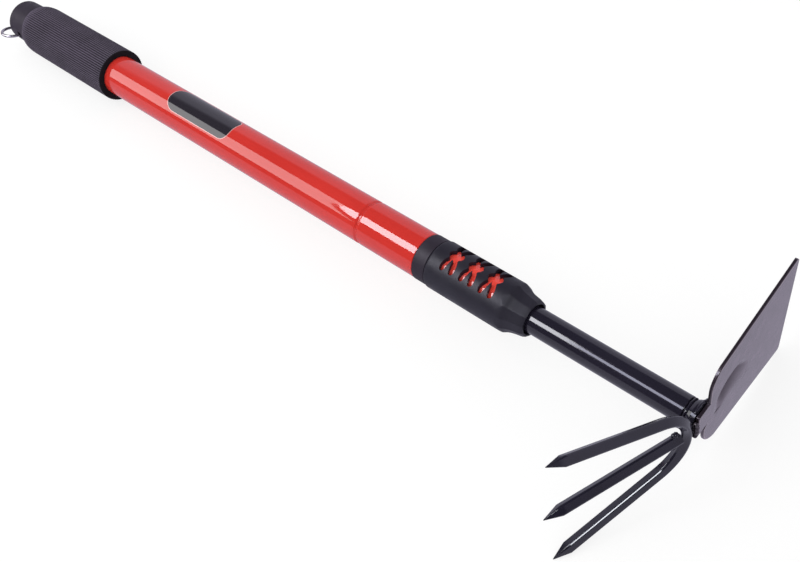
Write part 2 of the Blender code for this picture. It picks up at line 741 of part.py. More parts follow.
def make_blade_weld(black_paint):
    """A bead round the neck's head where the blade's back rests on it, open on the fork's side."""
    radius = NECK_RADIUS + SEAT_GAP + BLADE_BEAD
    x = NECK_END - BLADE_BEAD
    arc_points = arc(0.0, 0.0, radius, -120, 120, 36)
    sizes = [BLADE_BEAD * (1.0 if i % 3 else 0.7) for i in range(len(arc_points))]
    points = [(x, y, z) for y, z in arc_points]
    data = wire_data("blade_weld", points, sizes, sides=1)
    return smooth(place("blade_weld", data, black_paint), 60)


def make_bow_weld(black_paint):
    """A bead that fills the corner between the bow's bend and the blade's tab."""
    radius = BOW_RADIUS + BAR_WIDTH * math.sqrt(0.5) + BOW_BEAD + SEAT_GAP
    count = 8
    points = []
    for i in range(count + 1):
        across = BOW_BEAD_FAR - (BOW_BEAD_FAR + BOW_BEAD_NEAR) * i / count
        down = BOW_SETBACK + BOW_RADIUS - math.sqrt(radius**2 - across**2)
        points.append((down, across, -BOW_BEAD_FORWARD))
    sizes = [BOW_BEAD * (1.0 if i % 3 else 0.8) for i in range(count + 1)]
    data = wire_data("bow_weld", points, sizes, sides=2)
    return smooth(place("bow_weld", data, black_paint, fork_frame()), 60)


def blade_frame():
    """The blade's front face: local X runs to the cutting edge, local Y across the blade."""
    lean = math.radians(BLADE_LEAN)
    along = Vector((-math.sin(lean), math.cos(lean), 0.0))
    across = Vector((0.0, 0.0, 1.0))
    normal = along.cross(across)
    matrix = Matrix((along, across, normal)).transposed().to_4x4()
    matrix.translation = Vector((BLADE_FACE, 0.0, 0.0)) - normal * (BLADE_THICKNESS / 2)
    return matrix


def rounded(corners):
    """A closed outline whose corners are cut by arcs. Each corner is (x, y, radius)."""
    points = []
    for i, (x, y, radius) in enumerate(corners):
        here = Vector((x, y))
        before = Vector(corners[i - 1][:2]) - here
        after = Vector(corners[(i + 1) % len(corners)][:2]) - here
        half = before.angle(after) / 2
        middle = (before.normalized() + after.normalized()).normalized()
        centre = here + middle * (radius / math.sin(half))
        if radius == 0:
            points.append((x, y))
            continue
        start = (-middle).angle_signed(Vector((1.0, 0.0)))
        sweep = math.copysign(math.pi / 2 - half, before.cross(after))
        count = 7 if radius > TAB_CORNER else 3
        points += arc(*centre, radius, math.degrees(start + sweep), math.degrees(start - sweep), count)
    return points


def blade_outline():
    """The blade's edge, from its tab round the far ear, the cutting edge and the near ear."""
    tab = TAB_WIDTH / 2
    mouth = tab + SLIT_MOUTH
    root = tab + SLIT_ROOT
    near_root = EAR_NEAR_START + SLIT_DEPTH
    return rounded(
        [
            (TAB_START, tab, TAB_CORNER),
            (EAR_FAR_START, root, 0.0),
            (EAR_FAR_START, EAR_FAR_HALF_WIDTH, EAR_FAR_CORNER),
            (BLADE_FAR_REACH, BLADE_FAR_HALF_WIDTH, BLADE_EDGE_CORNER),
            (BLADE_NEAR_REACH, -BLADE_NEAR_HALF_WIDTH, BLADE_EDGE_CORNER),
            (EAR_NEAR_START, -EAR_NEAR_HALF_WIDTH, EAR_NEAR_CORNER),
            (EAR_NEAR_START, -mouth, 0.0),
            (near_root, -root, 0.0),
            (near_root, -tab, 0.0),
            (TAB_START, -tab, TAB_CORNER),
        ]
    )


def boat_guide(name, inset, height):
    """Two half eggs that press the blade's stiffening rib, centred on one of its faces."""
    data = bpy.data.meshes.new(name)
    shape = bmesh.new()
    bmesh.ops.create_uvsphere(shape, u_segments=28, v_segments=14, radius=1.0)
    rear = RIB_WIDEST - RIB_START - inset
    front = RIB_END - RIB_WIDEST - inset
    for corner in shape.verts:
        corner.co.x *= front if corner.co.x > 0 else rear
        corner.co.y *= RIB_WIDTH / 2 - inset
        corner.co.z *= RIB_DEPTH
    shape.to_mesh(data)
    shape.free()
    shift = Matrix.Translation((RIB_WIDEST, 0.0, height))
    return guide(name, data, blade_frame() @ shift)


def make_hoe_blade(black_paint):
    """The pressed blade: a flat plate with a welding tab, two slits and a rib pressed to the rear."""
    data = plate_data("hoe_blade", blade_outline(), BLADE_THICKNESS)
    blade = place("hoe_blade", data, black_paint, blade_frame())
    back = blade_normal_side()
    half = back * BLADE_THICKNESS / 2
    cut(blade, boat_guide("rib_back", 0.0, half), "UNION")
    cut(blade, boat_guide("rib_front", BLADE_THICKNESS / 2, -half))
    return smooth(blade, 25)


def blade_normal_side():
    """-1 where local Z of the blade's frame points to the front, so the rib goes the other way."""
    return -1.0 if blade_frame().col[2].x > 0 else 1.0


clear_scene()
PARTS = new_collection("telescopic_fork_hoe")
CUTTERS = new_collection("cutters")

RED_PAINT = new_material("red_paint", (0.55, 0.03, 0.02), 0.22)
RED_PLASTIC = new_material("red_plastic", (0.80, 0.05, 0.03), 0.35)
BLACK_PAINT = new_material("black_paint", (0.02, 0.02, 0.024), 0.28)
BLACK_PLASTIC = new_material("black_plastic", (0.035, 0.035, 0.04), 0.45)
BLACK_FOAM = new_material("black_foam", (0.05, 0.048, 0.055), 0.85)
BLACK_RUBBER = new_material("black_rubber", (0.02, 0.02, 0.02), 0.7)
WHITE_PLASTIC = new_material("white_plastic", (0.8, 0.8, 0.76), 0.4)
BRIGHT_STEEL = new_material("bright_steel", (0.7, 0.7, 0.72), 0.2, 1.0)

make_outer_tube(RED_PAINT)
make_end_cap(BLACK_PLASTIC)
make_hang_ring(BRIGHT_STEEL)
make_foam_grip(BLACK_FOAM)
make_ferrule(BLACK_PLASTIC)
make_collet_body(RED_PLASTIC)
make_o_ring(BLACK_RUBBER)
make_collet(WHITE_PLASTIC)
make_lock_nut(BLACK_PLASTIC)
make_inner_tube(BLACK_PAINT)
make_guide_bush(BLACK_PLASTIC)
make_inner_plug(BLACK_PLASTIC)
make_neck_stub(BLACK_PAINT)
make_tube_weld(BLACK_PAINT)
make_hoe_blade(BLACK_PAINT)
make_blade_weld(BLACK_PAINT)
make_outer_prongs(BLACK_PAINT)
make_middle_prong(BLACK_PAINT)
make_fork_welds(BLACK_PAINT)
make_bow_weld(BLACK_PAINT)
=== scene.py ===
"""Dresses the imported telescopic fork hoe, piece by piece, in the order in which it is put together."""

import math

import bmesh
import bpy
import numpy as np
from mathutils import Matrix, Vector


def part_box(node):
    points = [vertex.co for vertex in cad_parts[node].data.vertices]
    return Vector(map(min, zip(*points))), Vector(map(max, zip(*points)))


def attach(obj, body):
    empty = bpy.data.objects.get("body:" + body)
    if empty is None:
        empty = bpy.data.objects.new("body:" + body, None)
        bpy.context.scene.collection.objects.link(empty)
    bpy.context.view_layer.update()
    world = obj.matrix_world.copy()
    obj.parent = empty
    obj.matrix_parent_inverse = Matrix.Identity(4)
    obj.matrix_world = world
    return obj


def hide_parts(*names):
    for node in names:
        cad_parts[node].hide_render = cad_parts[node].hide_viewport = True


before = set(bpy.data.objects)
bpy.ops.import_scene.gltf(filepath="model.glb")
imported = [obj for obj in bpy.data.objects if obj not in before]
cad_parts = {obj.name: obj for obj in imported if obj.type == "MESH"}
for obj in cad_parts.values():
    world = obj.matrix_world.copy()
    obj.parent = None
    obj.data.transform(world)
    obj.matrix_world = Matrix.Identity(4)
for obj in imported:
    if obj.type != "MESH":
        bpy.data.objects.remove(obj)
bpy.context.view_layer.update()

# The outer tube is thin steel tube, sprayed a glossy red over its whole length. A groove rolled
# round it near the front end holds the collet body, and its front end is cut square.
TUBE_RADIUS = 0.0143
TUBE_WALL = 0.0012
TUBE_START, TUBE_END = (corner.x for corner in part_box("outer_tube"))
GROOVE_X = TUBE_END - 0.0458
GROOVE_HALF = 0.0018
GROOVE_DEPTH = 0.0010


def surface(name, grid, closed_rows=False, sharp=40.0):
    """A mesh over a grid of points, rows by columns by three. Each point is joined to the next one
    in its row and in its column, a row's last point to its first, and points that coincide are
    merged, which closes the poles."""
    rows, columns = grid.shape[:2]
    here = np.arange(rows * columns).reshape(rows, columns)
    below, beside = np.roll(here, -1, 0), np.roll(here, -1, 1)
    corners = np.stack([here, below, np.roll(below, -1, 1), beside], -1)
    if not closed_rows:
        corners = corners[:-1]
    mesh = bpy.data.meshes.new(name)
    mesh.from_pydata(grid.reshape(-1, 3).tolist(), [], corners.reshape(-1, 4).tolist())
    return closed_piece(name, mesh, sharp)


def closed_piece(name, mesh, sharp):
    """Merges a mesh's doubles, turns its faces outwards and links it as an object at the origin."""
    shape = bmesh.new()
    shape.from_mesh(mesh)
    bmesh.ops.remove_doubles(shape, verts=shape.verts, dist=0.000001)
    bmesh.ops.recalc_face_normals(shape, faces=shape.faces)
    shape.to_mesh(mesh)
    shape.free()
    mesh.shade_smooth()
    mesh.set_sharp_from_angle(angle=math.radians(sharp))
    piece = bpy.data.objects.new(name, mesh)
    bpy.context.scene.collection.objects.link(piece)
    return piece


def soften(outline, size, steps=4, closed=False):
    """Rounds an outline's corners. Each corner becomes a quadratic curve between a point just before
    it and one just after it: (1-t)^2 before + 2t(1-t) corner + t^2 after."""
    points = np.asarray(outline, float)
    before, after = np.roll(points, 1, 0) - points, np.roll(points, -1, 0) - points
    share = np.linspace(0, 1, steps + 1)[None, :, None]

    def towards(way):
        """The points, moved by the size along a way, or by less where the way is short."""
        length = np.linalg.norm(way, axis=1, keepdims=True) + 1e-12
        return (points + way / length * np.minimum(size, 0.45 * length))[:, None]

    curve = (1 - share) ** 2 * towards(before) + 2 * share * (1 - share) * points[:, None]
    curve = curve + share**2 * towards(after)
    if closed:
        return curve.reshape(-1, 2)
    return np.concatenate([points[:1], curve[1:-1].reshape(-1, 2), points[-1:]])


def braced(profile, reach=0.0003):
    """Adds a point close to both ends of each long stretch of a closed profile, so that the faces of
    the stretch keep their own direction. Short stretches get points that coincide, and are merged."""
    way = np.roll(profile, -1, 0) - profile
    length = np.linalg.norm(way, axis=1, keepdims=True)
    share = np.where(length > 4 * reach, reach / np.maximum(length, reach), 0)
    return np.stack([profile, profile + share * way, profile + (1 - share) * way], 1).reshape(-1, 2)


def turned(name, profile, steps=144, sharp=40.0):
    """Turns a closed profile of (distance along the shaft, radius): y = r cos a, z = r sin a."""
    profile = braced(profile)
    angle = np.linspace(0, 2 * np.pi, steps, endpoint=False)[None, :]
    along, radius = profile[:, 0][:, None], profile[:, 1][:, None]
    grid = np.stack([along + 0 * angle, radius * np.cos(angle), radius * np.sin(angle)], -1)
    return surface(name, grid, closed_rows=True, sharp=sharp)


def fit(piece, body, slot, finish, *nodes):
    """Gives a piece its finish, and puts it in the place of its CAD nodes."""
    piece.data.materials.clear()
    piece.data.materials.append(finish)
    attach(piece, body)
    if nodes:
        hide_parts(*nodes)
    return piece


def new_finish(name, colour, roughness, metallic=0.0, **sockets):
    """A Principled finish. Values that are even over the surface go on the shader's own sockets."""
    finish = bpy.data.materials.new(name)
    finish.use_nodes = True
    shader = finish.node_tree.nodes["Principled BSDF"]
    shader.inputs["Base Color"].default_value = (*colour, 1)
    shader.inputs["Roughness"].default_value = roughness
    shader.inputs["Metallic"].default_value = metallic
    for socket, value in sockets.items():
        shader.inputs[socket.replace("_", " ")].default_value = value
    return finish


def grain(finish, scale, stretch=(1, 1, 1), detail=3.0, kind="ShaderNodeTexNoise"):
    """A noise or cell pattern in object space, finer along an axis where stretch is larger."""
    nodes, links = finish.node_tree.nodes, finish.node_tree.links
    place = nodes.new("ShaderNodeTexCoord")
    turn = nodes.new("ShaderNodeMapping")
    turn.inputs["Scale"].default_value = stretch
    pattern = nodes.new(kind)
    pattern.inputs["Scale"].default_value = scale
    if "Detail" in pattern.inputs:
        pattern.inputs["Detail"].default_value = detail
    links.new(place.outputs["Object"], turn.inputs["Vector"])
    links.new(turn.outputs["Vector"], pattern.inputs["Vector"])
    return pattern.outputs[0]


def graded(finish, socket, low, high, start=0.3, end=0.7):
    """Stretches values from start..end, where most of a noise pattern's values are, to low..high."""
    step = finish.node_tree.nodes.new("ShaderNodeMapRange")
    for name, value in (("From Min", start), ("From Max", end), ("To Min", low), ("To Max", high)):
        step.inputs[name].default_value = value
    finish.node_tree.links.new(socket, step.inputs["Value"])
    return step.outputs["Result"]


def vary_roughness(finish, socket, low, high):
    """Spreads a pattern's values over a range of roughness."""
    shader = finish.node_tree.nodes["Principled BSDF"]
    finish.node_tree.links.new(graded(finish, socket, low, high), shader.inputs["Roughness"])


def vary_colour(finish, socket, *stops):
    """Colours a pattern through a ramp of (position, colour)."""
    ramp = finish.node_tree.nodes.new("ShaderNodeValToRGB")
    for _ in stops[2:]:
        ramp.color_ramp.elements.new(0.5)
    for element, (position, colour) in zip(ramp.color_ramp.elements, stops):
        element.position = position
        element.color = (*colour, 1)
    shader = finish.node_tree.nodes["Principled BSDF"]
    finish.node_tree.links.new(socket, ramp.inputs["Fac"])
    finish.node_tree.links.new(ramp.outputs["Color"], shader.inputs["Base Color"])


def emboss(finish, socket, height, strength=1.0, coat=False):
    """Raises a pattern by a height in metres. A second call lies on top of the first."""
    shader = finish.node_tree.nodes["Principled BSDF"]
    bump = finish.node_tree.nodes.new("ShaderNodeBump")
    bump.inputs["Distance"].default_value = height
    bump.inputs["Strength"].default_value = strength
    links = finish.node_tree.links
    links.new(socket, bump.inputs["Height"])
    if shader.inputs["Normal"].is_linked:
        links.new(shader.inputs["Normal"].links[0].from_socket, bump.inputs["Normal"])
    links.new(bump.outputs["Normal"], shader.inputs["Normal"])
    if coat:
        links.new(bump.outputs["Normal"], shader.inputs["Coat Normal"])


# Gloss paint mirrors in its clear coat only.
GLOSS = {"Specular_IOR_Level": 0.0, "Coat_Weight": 1.0, "Coat_IOR": 1.6}
red_paint = new_finish("sprayed_red_paint", (0.61, 0.034, 0.025), 0.5, Coat_Roughness=0.04, **GLOSS)
red_stops = [(0.3, (0.59, 0.031, 0.023)), (0.7, (0.64, 0.037, 0.028))]
vary_colour(red_paint, grain(red_paint, 60, (0.3, 1, 1)), *red_stops)
emboss(red_paint, grain(red_paint, 420, (0.25, 1, 1), detail=2), 0.000012, 0.5, coat=True)


def tube_radius(along):
    """The tube's outer radius: level, less one wave of a cosine across the rolled groove."""
    away = np.clip(np.abs(along - GROOVE_X) / GROOVE_HALF, 0, 1)
    return TUBE_RADIUS - GROOVE_DEPTH * (1 + np.cos(np.pi * away)) / 2


TUBE_BREAK = 0.0003  # how far a tube's ends are eased along the shaft
groove = np.linspace(GROOVE_X - 1.05 * GROOVE_HALF, GROOVE_X + 1.05 * GROOVE_HALF, 33)
lengths = np.array(
    [TUBE_START, TUBE_START + TUBE_BREAK, *groove, TUBE_END - TUBE_BREAK, TUBE_END]
)
outside = np.stack([lengths, tube_radius(lengths)], 1)
outside[[0, -1], 1] -= 0.0002
inside = np.stack([lengths, tube_radius(lengths) - TUBE_WALL], 1)[::-1]
outer_tube = turned("red_outer_tube", np.concatenate([outside, inside]), steps=192, sharp=50)
fit(outer_tube, "handle", "red_paint", red_paint, "outer_tube")

# The label is a black panel printed on the red paint, with round corners and a thin pale outline.
# It is left bare.
LABEL_START, LABEL_END = 0.1950, 0.2600
LABEL_MIDDLE, LABEL_HALF = 0.0222, 0.0113
LABEL_OUTLINE = 0.00045
LABEL_REAR_CORNER, LABEL_FRONT_CORNER = 0.0100, 0.0072


def label_panel(name, shrink, lift, thickness):
    """A thin sheet on the tube. A square grid (s, t) is pulled to a rounded rectangle: its ends follow
    x = end -/+ r (1 - sqrt(1 - c^2)), where c is how far t reaches into the corner radius r. The
    cross distance is then wound round the tube: angle = distance / radius."""
    s, t = np.meshgrid(np.linspace(0, 1, 70), np.linspace(-1, 1, 61), indexing="ij")
    half = LABEL_HALF - shrink
    across = t * half

    def pulled_in(radius):
        """How far a rounded corner draws an end in, at each place across the label."""
        corner = np.clip((np.abs(across) - (half - radius)) / radius, 0, 1)
        return radius * (1 - np.sqrt(np.maximum(1 - corner**2, 0)))

    rear = LABEL_START + shrink + pulled_in(LABEL_REAR_CORNER - shrink)
    front = LABEL_END - shrink - pulled_in(LABEL_FRONT_CORNER - shrink)
    along = rear + s * (front - rear)
    angle = (LABEL_MIDDLE + across) / TUBE_RADIUS
    layers = [
        np.stack([along, r * np.cos(angle), r * np.sin(angle)], -1)
        for r in (TUBE_RADIUS + lift, TUBE_RADIUS + lift + thickness)
    ]
    round_loop = np.concatenate([layers[0], layers[1][:, ::-1]], 1)
    return surface(name, round_loop)


black_print = new_finish("black_print", (0.022, 0.019, 0.026), 0.5, Coat_Roughness=0.08, **GLOSS)
emboss(black_print, grain(black_print, 420, (0.25, 1, 1), detail=2), 0.000012, 0.5, coat=True)
vary_roughness(black_print, grain(black_print, 300), 0.26, 0.36)
pale_print = new_finish("pale_print", (0.78, 0.42, 0.40), 0.35, Coat_Weight=1.0, Coat_Roughness=0.08)
vary_roughness(pale_print, grain(pale_print, 300), 0.30, 0.40)
fit(label_panel("label_outline", 0.0, 0.000004, 0.000016), "handle", "red_paint", pale_print)
bare_panel = label_panel("label_panel", LABEL_OUTLINE, 0.000022, 0.000014)
fit(bare_panel, "handle", "black_plastic", black_print)

# The end cap is moulded black plastic, pushed into the tube's rear end. Its end has a pocket
# behind a slotted wall for the ring, and its surface is finely spark-eroded.
black_plastic = new_finish(
    "moulded_black_plastic", (0.026, 0.021, 0.032), 0.50, Specular_IOR_Level=0.2
)
vary_roughness(black_plastic, grain(black_plastic, 220), 0.42, 0.56)
emboss(black_plastic, grain(black_plastic, 2600, detail=2), 0.000020, 0.5)
plastic_stops = [(0.3, (0.023, 0.017, 0.028)), (0.7, (0.032, 0.024, 0.039))]
vary_colour(black_plastic, grain(black_plastic, 40), *plastic_stops)


def polished(node, name, edge, sharp=30.0):
    """A node's own solid with its facets merged, its edges rounded and its round sides smooth."""
    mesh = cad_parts[node].data.copy()
    shape = bmesh.new()
    shape.from_mesh(mesh)
    bmesh.ops.remove_doubles(shape, verts=shape.verts, dist=0.000002)
    level = math.radians(0.6)
    bmesh.ops.dissolve_limit(shape, angle_limit=level, verts=shape.verts, edges=shape.edges)
    shape.to_mesh(mesh)
    shape.free()
    piece = closed_piece(name, mesh, sharp)
    rounding = piece.modifiers.new("rounding", "BEVEL")
    rounding.width = edge
    rounding.segments = 3
    rounding.limit_method = "ANGLE"
    rounding.angle_limit = math.radians(sharp)
    rounding.harden_normals = True
    return piece


fit(polished("end_cap", "black_end_cap", 0.00025), "handle", "black_plastic", black_plastic, "end_cap")

# The hanging ring is a loop of hard-drawn steel wire, bright plated, butted where its ends meet.
# It goes through the cap's slot and round the cap's end.
bright_steel = new_finish("bright_steel", (0.50, 0.47, 0.50), 0.16, 1.0)
vary_roughness(bright_steel, grain(bright_steel, 700), 0.10, 0.26)
emboss(bright_steel, grain(bright_steel, 1800, detail=2), 0.000008, 0.5)
ring_low, ring_high = (np.array(corner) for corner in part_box("hang_ring"))
RING_WIRE = 0.0011
RING_RADIUS = (ring_high[0] - ring_low[0]) / 2 - RING_WIRE
RING_TILT = math.radians(-16)
RING_BUTT = 0.9 * math.pi


def wire_loop(name, centre, radius, wire, tilt):
    """A torus whose wire thins over a few degrees where its ends are butted. A point at angle a round
    the loop and b round the wire: reach = radius + w cos b, height = w sin b, then tilted about x."""
    a = np.linspace(0, 2 * np.pi, 120, endpoint=False)[:, None]
    b = np.linspace(0, 2 * np.pi, 20, endpoint=False)[None, :]
    seam = np.exp(-(((a - RING_BUTT) / 0.03) ** 2))
    w = wire * (1 - 0.12 * seam)
    reach, height = radius + w * np.cos(b), w * np.sin(b)
    x, y = reach * np.cos(a), reach * np.sin(a)
    turned_y = y * np.cos(tilt) - height * np.sin(tilt)
    turned_z = y * np.sin(tilt) + height * np.cos(tilt)
    return surface(name, np.stack([x, turned_y, turned_z], -1) + centre, closed_rows=True)


hang_ring = wire_loop("steel_hang_ring", (ring_low + ring_high) / 2, RING_RADIUS, RING_WIRE, RING_TILT)
fit(hang_ring, "ring", "bright_steel", bright_steel, "hang_ring")

# The grip is a sleeve of closed-cell foam rubber, moulded with fine lengthwise ribs, rounded at
# the rear and cut square at the front. It is stretched over the tube.
GRIP_START, GRIP_END = (corner.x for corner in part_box("foam_grip"))
GRIP_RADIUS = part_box("foam_grip")[1].z
GRIP_LIP = 0.0159
GRIP_DOME = 0.0105
GRIP_RIBS = 72
GRIP_RIB = 0.00060
GRIP_RIM = 0.0006
foam = new_finish("ribbed_foam_rubber", (0.046, 0.037, 0.055), 0.85, Specular_IOR_Level=0.15)
emboss(foam, grain(foam, 2400, kind="ShaderNodeTexVoronoi"), 0.00006, 0.6)
emboss(foam, grain(foam, 700, detail=4), 0.00005, 0.5)
vary_roughness(foam, grain(foam, 500), 0.68, 0.88)


def foam_sleeve(name):
    """Rows run from the bore over the rear dome (a quarter ellipse) and along the outside to the
    square front. Ribs: radius less rib * (1 - sqrt|cos(n a / 2)|), fading out over both ends."""
    angle = np.linspace(0, 2 * np.pi, 8 * GRIP_RIBS, endpoint=False)[None, :]
    turn = np.linspace(0, np.pi / 2, 14)
    dome_x = GRIP_START + GRIP_DOME * (1 - np.cos(turn))
    dome_r = GRIP_LIP + (GRIP_RADIUS - GRIP_LIP) * np.sin(turn)
    body_x = np.linspace(GRIP_START + GRIP_DOME, GRIP_END - 1.5 * GRIP_RIM, 24)[1:]
    rim = np.linspace(0, np.pi / 2, 5)
    rim_x = GRIP_END - GRIP_RIM * (1 - np.sin(rim))
    rim_r = GRIP_RADIUS - GRIP_RIM * (1 - np.cos(rim))
    along = np.concatenate([dome_x, body_x, rim_x])[:, None]
    radius = np.concatenate([dome_r, np.full(len(body_x), GRIP_RADIUS), rim_r])[:, None]
    fade = np.concatenate([np.sin(turn) ** 2, np.ones(len(body_x)), np.cos(rim)])[:, None]
    rib = GRIP_RIB * (1 - np.sqrt(np.abs(np.cos(GRIP_RIBS * angle / 2))))
    radius = radius - fade * rib
    bore = TUBE_RADIUS + 0.0003
    along = np.concatenate([[[GRIP_START]], along, [[GRIP_END], [GRIP_END]], [[GRIP_START]]])
    ends = np.ones_like(angle)
    front = [(bore + 0.0002) * ends, bore * ends]
    radius = np.concatenate([GRIP_LIP * 0.985 * ends, radius, *front, bore * ends])
    grid = np.stack([along + 0 * angle, radius * np.cos(angle), radius * np.sin(angle)], -1)
    return surface(name, grid, closed_rows=True, sharp=60)


def shaded_grooves(piece):
    """A share for each point of the grip: 1 at the bottom of a groove, for dust and for painted shade,
    and on the cut front face, which is painted shade, and 0 on a rib's crest. It is 1 - |cos(n a / 2)|,
    to the power of 0.7."""
    places = np.empty(3 * len(piece.data.vertices))
    piece.data.vertices.foreach_get("co", places)
    x, y, z = places.reshape(-1, 3).T
    share = (1 - np.abs(np.cos(GRIP_RIBS * np.arctan2(z, y) / 2))) ** 0.7
    share = share * np.clip((x - GRIP_START) / GRIP_DOME, 0, 1)
    share = np.where(x > GRIP_END - 0.0005, 1.0, share)
    piece.data.attributes.new("groove", "FLOAT", "POINT").data.foreach_set("value", share)


def joined(tree, kind, *sources):
    """The first output of a new node, whose inputs take the sources in their order."""
    node = tree.nodes.new(kind)
    for source, socket in zip(sources, node.inputs):
        tree.links.new(source, socket)
    return node.outputs[0]


def marked(finish, attribute, pattern):
    """The sum of a share that the mesh keeps for each point and of a pattern's value."""
    share = finish.node_tree.nodes.new("ShaderNodeAttribute")
    share.attribute_name = attribute
    total = joined(finish.node_tree, "ShaderNodeMath", share.outputs["Fac"], pattern)
    total.node.operation = "ADD"
    return total


foam_grip = fit(foam_sleeve("ribbed_foam_grip"), "handle", "black_foam", foam, "foam_grip")
shaded_grooves(foam_grip)
# The grip's colour is darker in the grooves, partly dust and partly painted shade, and on the cut front
# face as painted shade; the crests are lighter.
foam_shade = marked(foam, "groove", graded(foam, grain(foam, 90, (0.4, 1, 1)), -0.12, 0.12))
vary_colour(foam, foam_shade, (0.0, (0.094, 0.076, 0.114)), (0.95, (0.008, 0.006, 0.009)))

# The collet body is moulded in bright red nylon. Its spigot is locked in the tube by the rolled
# groove, and its core, with a thread so shallow that it looks smooth, shows through the nut's
# windows. A rubber ring lies in a groove round it.
red_plastic = new_finish(
    "red_nylon", (0.90, 0.070, 0.050), 0.12, Subsurface_Weight=0.08, Subsurface_Scale=0.002, IOR=1.6
)
vary_roughness(red_plastic, grain(red_plastic, 300), 0.06, 0.14)
emboss(red_plastic, grain(red_plastic, 900, detail=1), 0.000012, 0.4)
collet_body = polished("collet_body", "red_collet_body", 0.0002)
fit(collet_body, "handle", "red_plastic", red_plastic, "collet_body")
ROOT_RADIUS, CREST_RADIUS = 0.0106, 0.0121
crest_start, crest_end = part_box("ferrule_ring")[1].x + 0.0009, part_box("collet_body")[1].x - 0.0014
crest = [(crest_start, ROOT_RADIUS), (crest_start, CREST_RADIUS)]
crest += [(crest_end, CREST_RADIUS), (crest_end, ROOT_RADIUS)]
crest = soften(crest, 0.0003, closed=True)
fit(turned("red_core_crest", crest), "handle", "red_plastic", red_plastic)
rubber = new_finish("nitrile_rubber", (0.018, 0.018, 0.018), 0.6)
vary_roughness(rubber, grain(rubber, 800), 0.5, 0.7)
emboss(rubber, grain(rubber, 1600), 0.00002, 0.5)
rubber_ring = polished("nut_o_ring", "rubber_ring", 0.00005, 60)
fit(rubber_ring, "handle", "black_rubber", rubber, "nut_o_ring")

# The ferrule is a moulded black ring that covers the tube's cut end. Its rear edge has a small nick.
FERRULE_START, FERRULE_END = (corner.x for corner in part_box("ferrule_ring"))
FERRULE_RADIUS, FERRULE_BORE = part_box("ferrule_ring")[1].z, 0.0129
NICK_AT, NICK_DEPTH = math.radians(172), 0.0006


def ferrule(name):
    """A turned ring whose rear edge dips forward over a few degrees: a bell curve of the angle."""
    outline = [(FERRULE_START, FERRULE_BORE), (FERRULE_START, FERRULE_RADIUS)]
    outline += [(FERRULE_END, FERRULE_RADIUS), (FERRULE_END, FERRULE_BORE)]
    profile = braced(soften(outline, 0.0005, closed=True))
    angle = np.linspace(0, 2 * np.pi, 192, endpoint=False)[None, :]
    along, radius = profile[:, 0][:, None], profile[:, 1][:, None]
    nick = NICK_DEPTH * np.exp(-(((angle - NICK_AT) / 0.035) ** 2)) * (radius > 0.0140)
    nearness = np.clip(1 - (along - FERRULE_START) / 0.001, 0, 1)
    grid = np.stack([along + nick * nearness, radius * np.cos(angle), radius * np.sin(angle)], -1)
    return surface(name, grid, closed_rows=True, sharp=50)


fit(ferrule("black_ferrule"), "handle", "black_plastic", black_plastic, "ferrule_ring")

# The collet is a white acetal sleeve, slit into fingers, which the nut's cone closes on the
# sliding tube. It lies out of sight in the nut.
white_plastic = new_finish(
    "white_acetal", (0.78, 0.77, 0.72), 0.38, Subsurface_Weight=0.1, Subsurface_Scale=0.002
)
vary_roughness(white_plastic, grain(white_plastic, 400), 0.32, 0.45)
emboss(white_plastic, grain(white_plastic, 1200), 0.00001, 0.4)
collet = polished("collet", "white_collet", 0.00015)
fit(collet, "collet_fingers", "white_plastic", white_plastic, "collet")

# The lock nut is moulded black plastic: a barrel with three pierced ornaments on two sides, and a
# nose whose twelve hollow flats run into the barrel in arches. It screws on the red core.
NUT_START, NUT_END = (corner.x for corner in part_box("lock_nut"))
NUT_RADIUS = 0.0150
NUT_SHOULDER = NUT_START + 0.0516
NUT_TIP = 0.0105
NUT_BORE = 0.0123
NUT_CHAMFER = 0.0014
ARCH_BORDER = 0.0006
NUT_TURN = math.radians(-6.5)
FLATS = 12
FLAT_HALF = math.pi / FLATS
ORNAMENT_FIRST, ORNAMENT_PITCH = NUT_START + 0.01375, 0.01395


def gentler(a, b, size):
    """The smaller of two values, with the corner between them rounded: half of
    a + b - sqrt((a - b)^2 + size^2)."""
    return (a + b - np.sqrt((a - b) ** 2 + size**2)) / 2


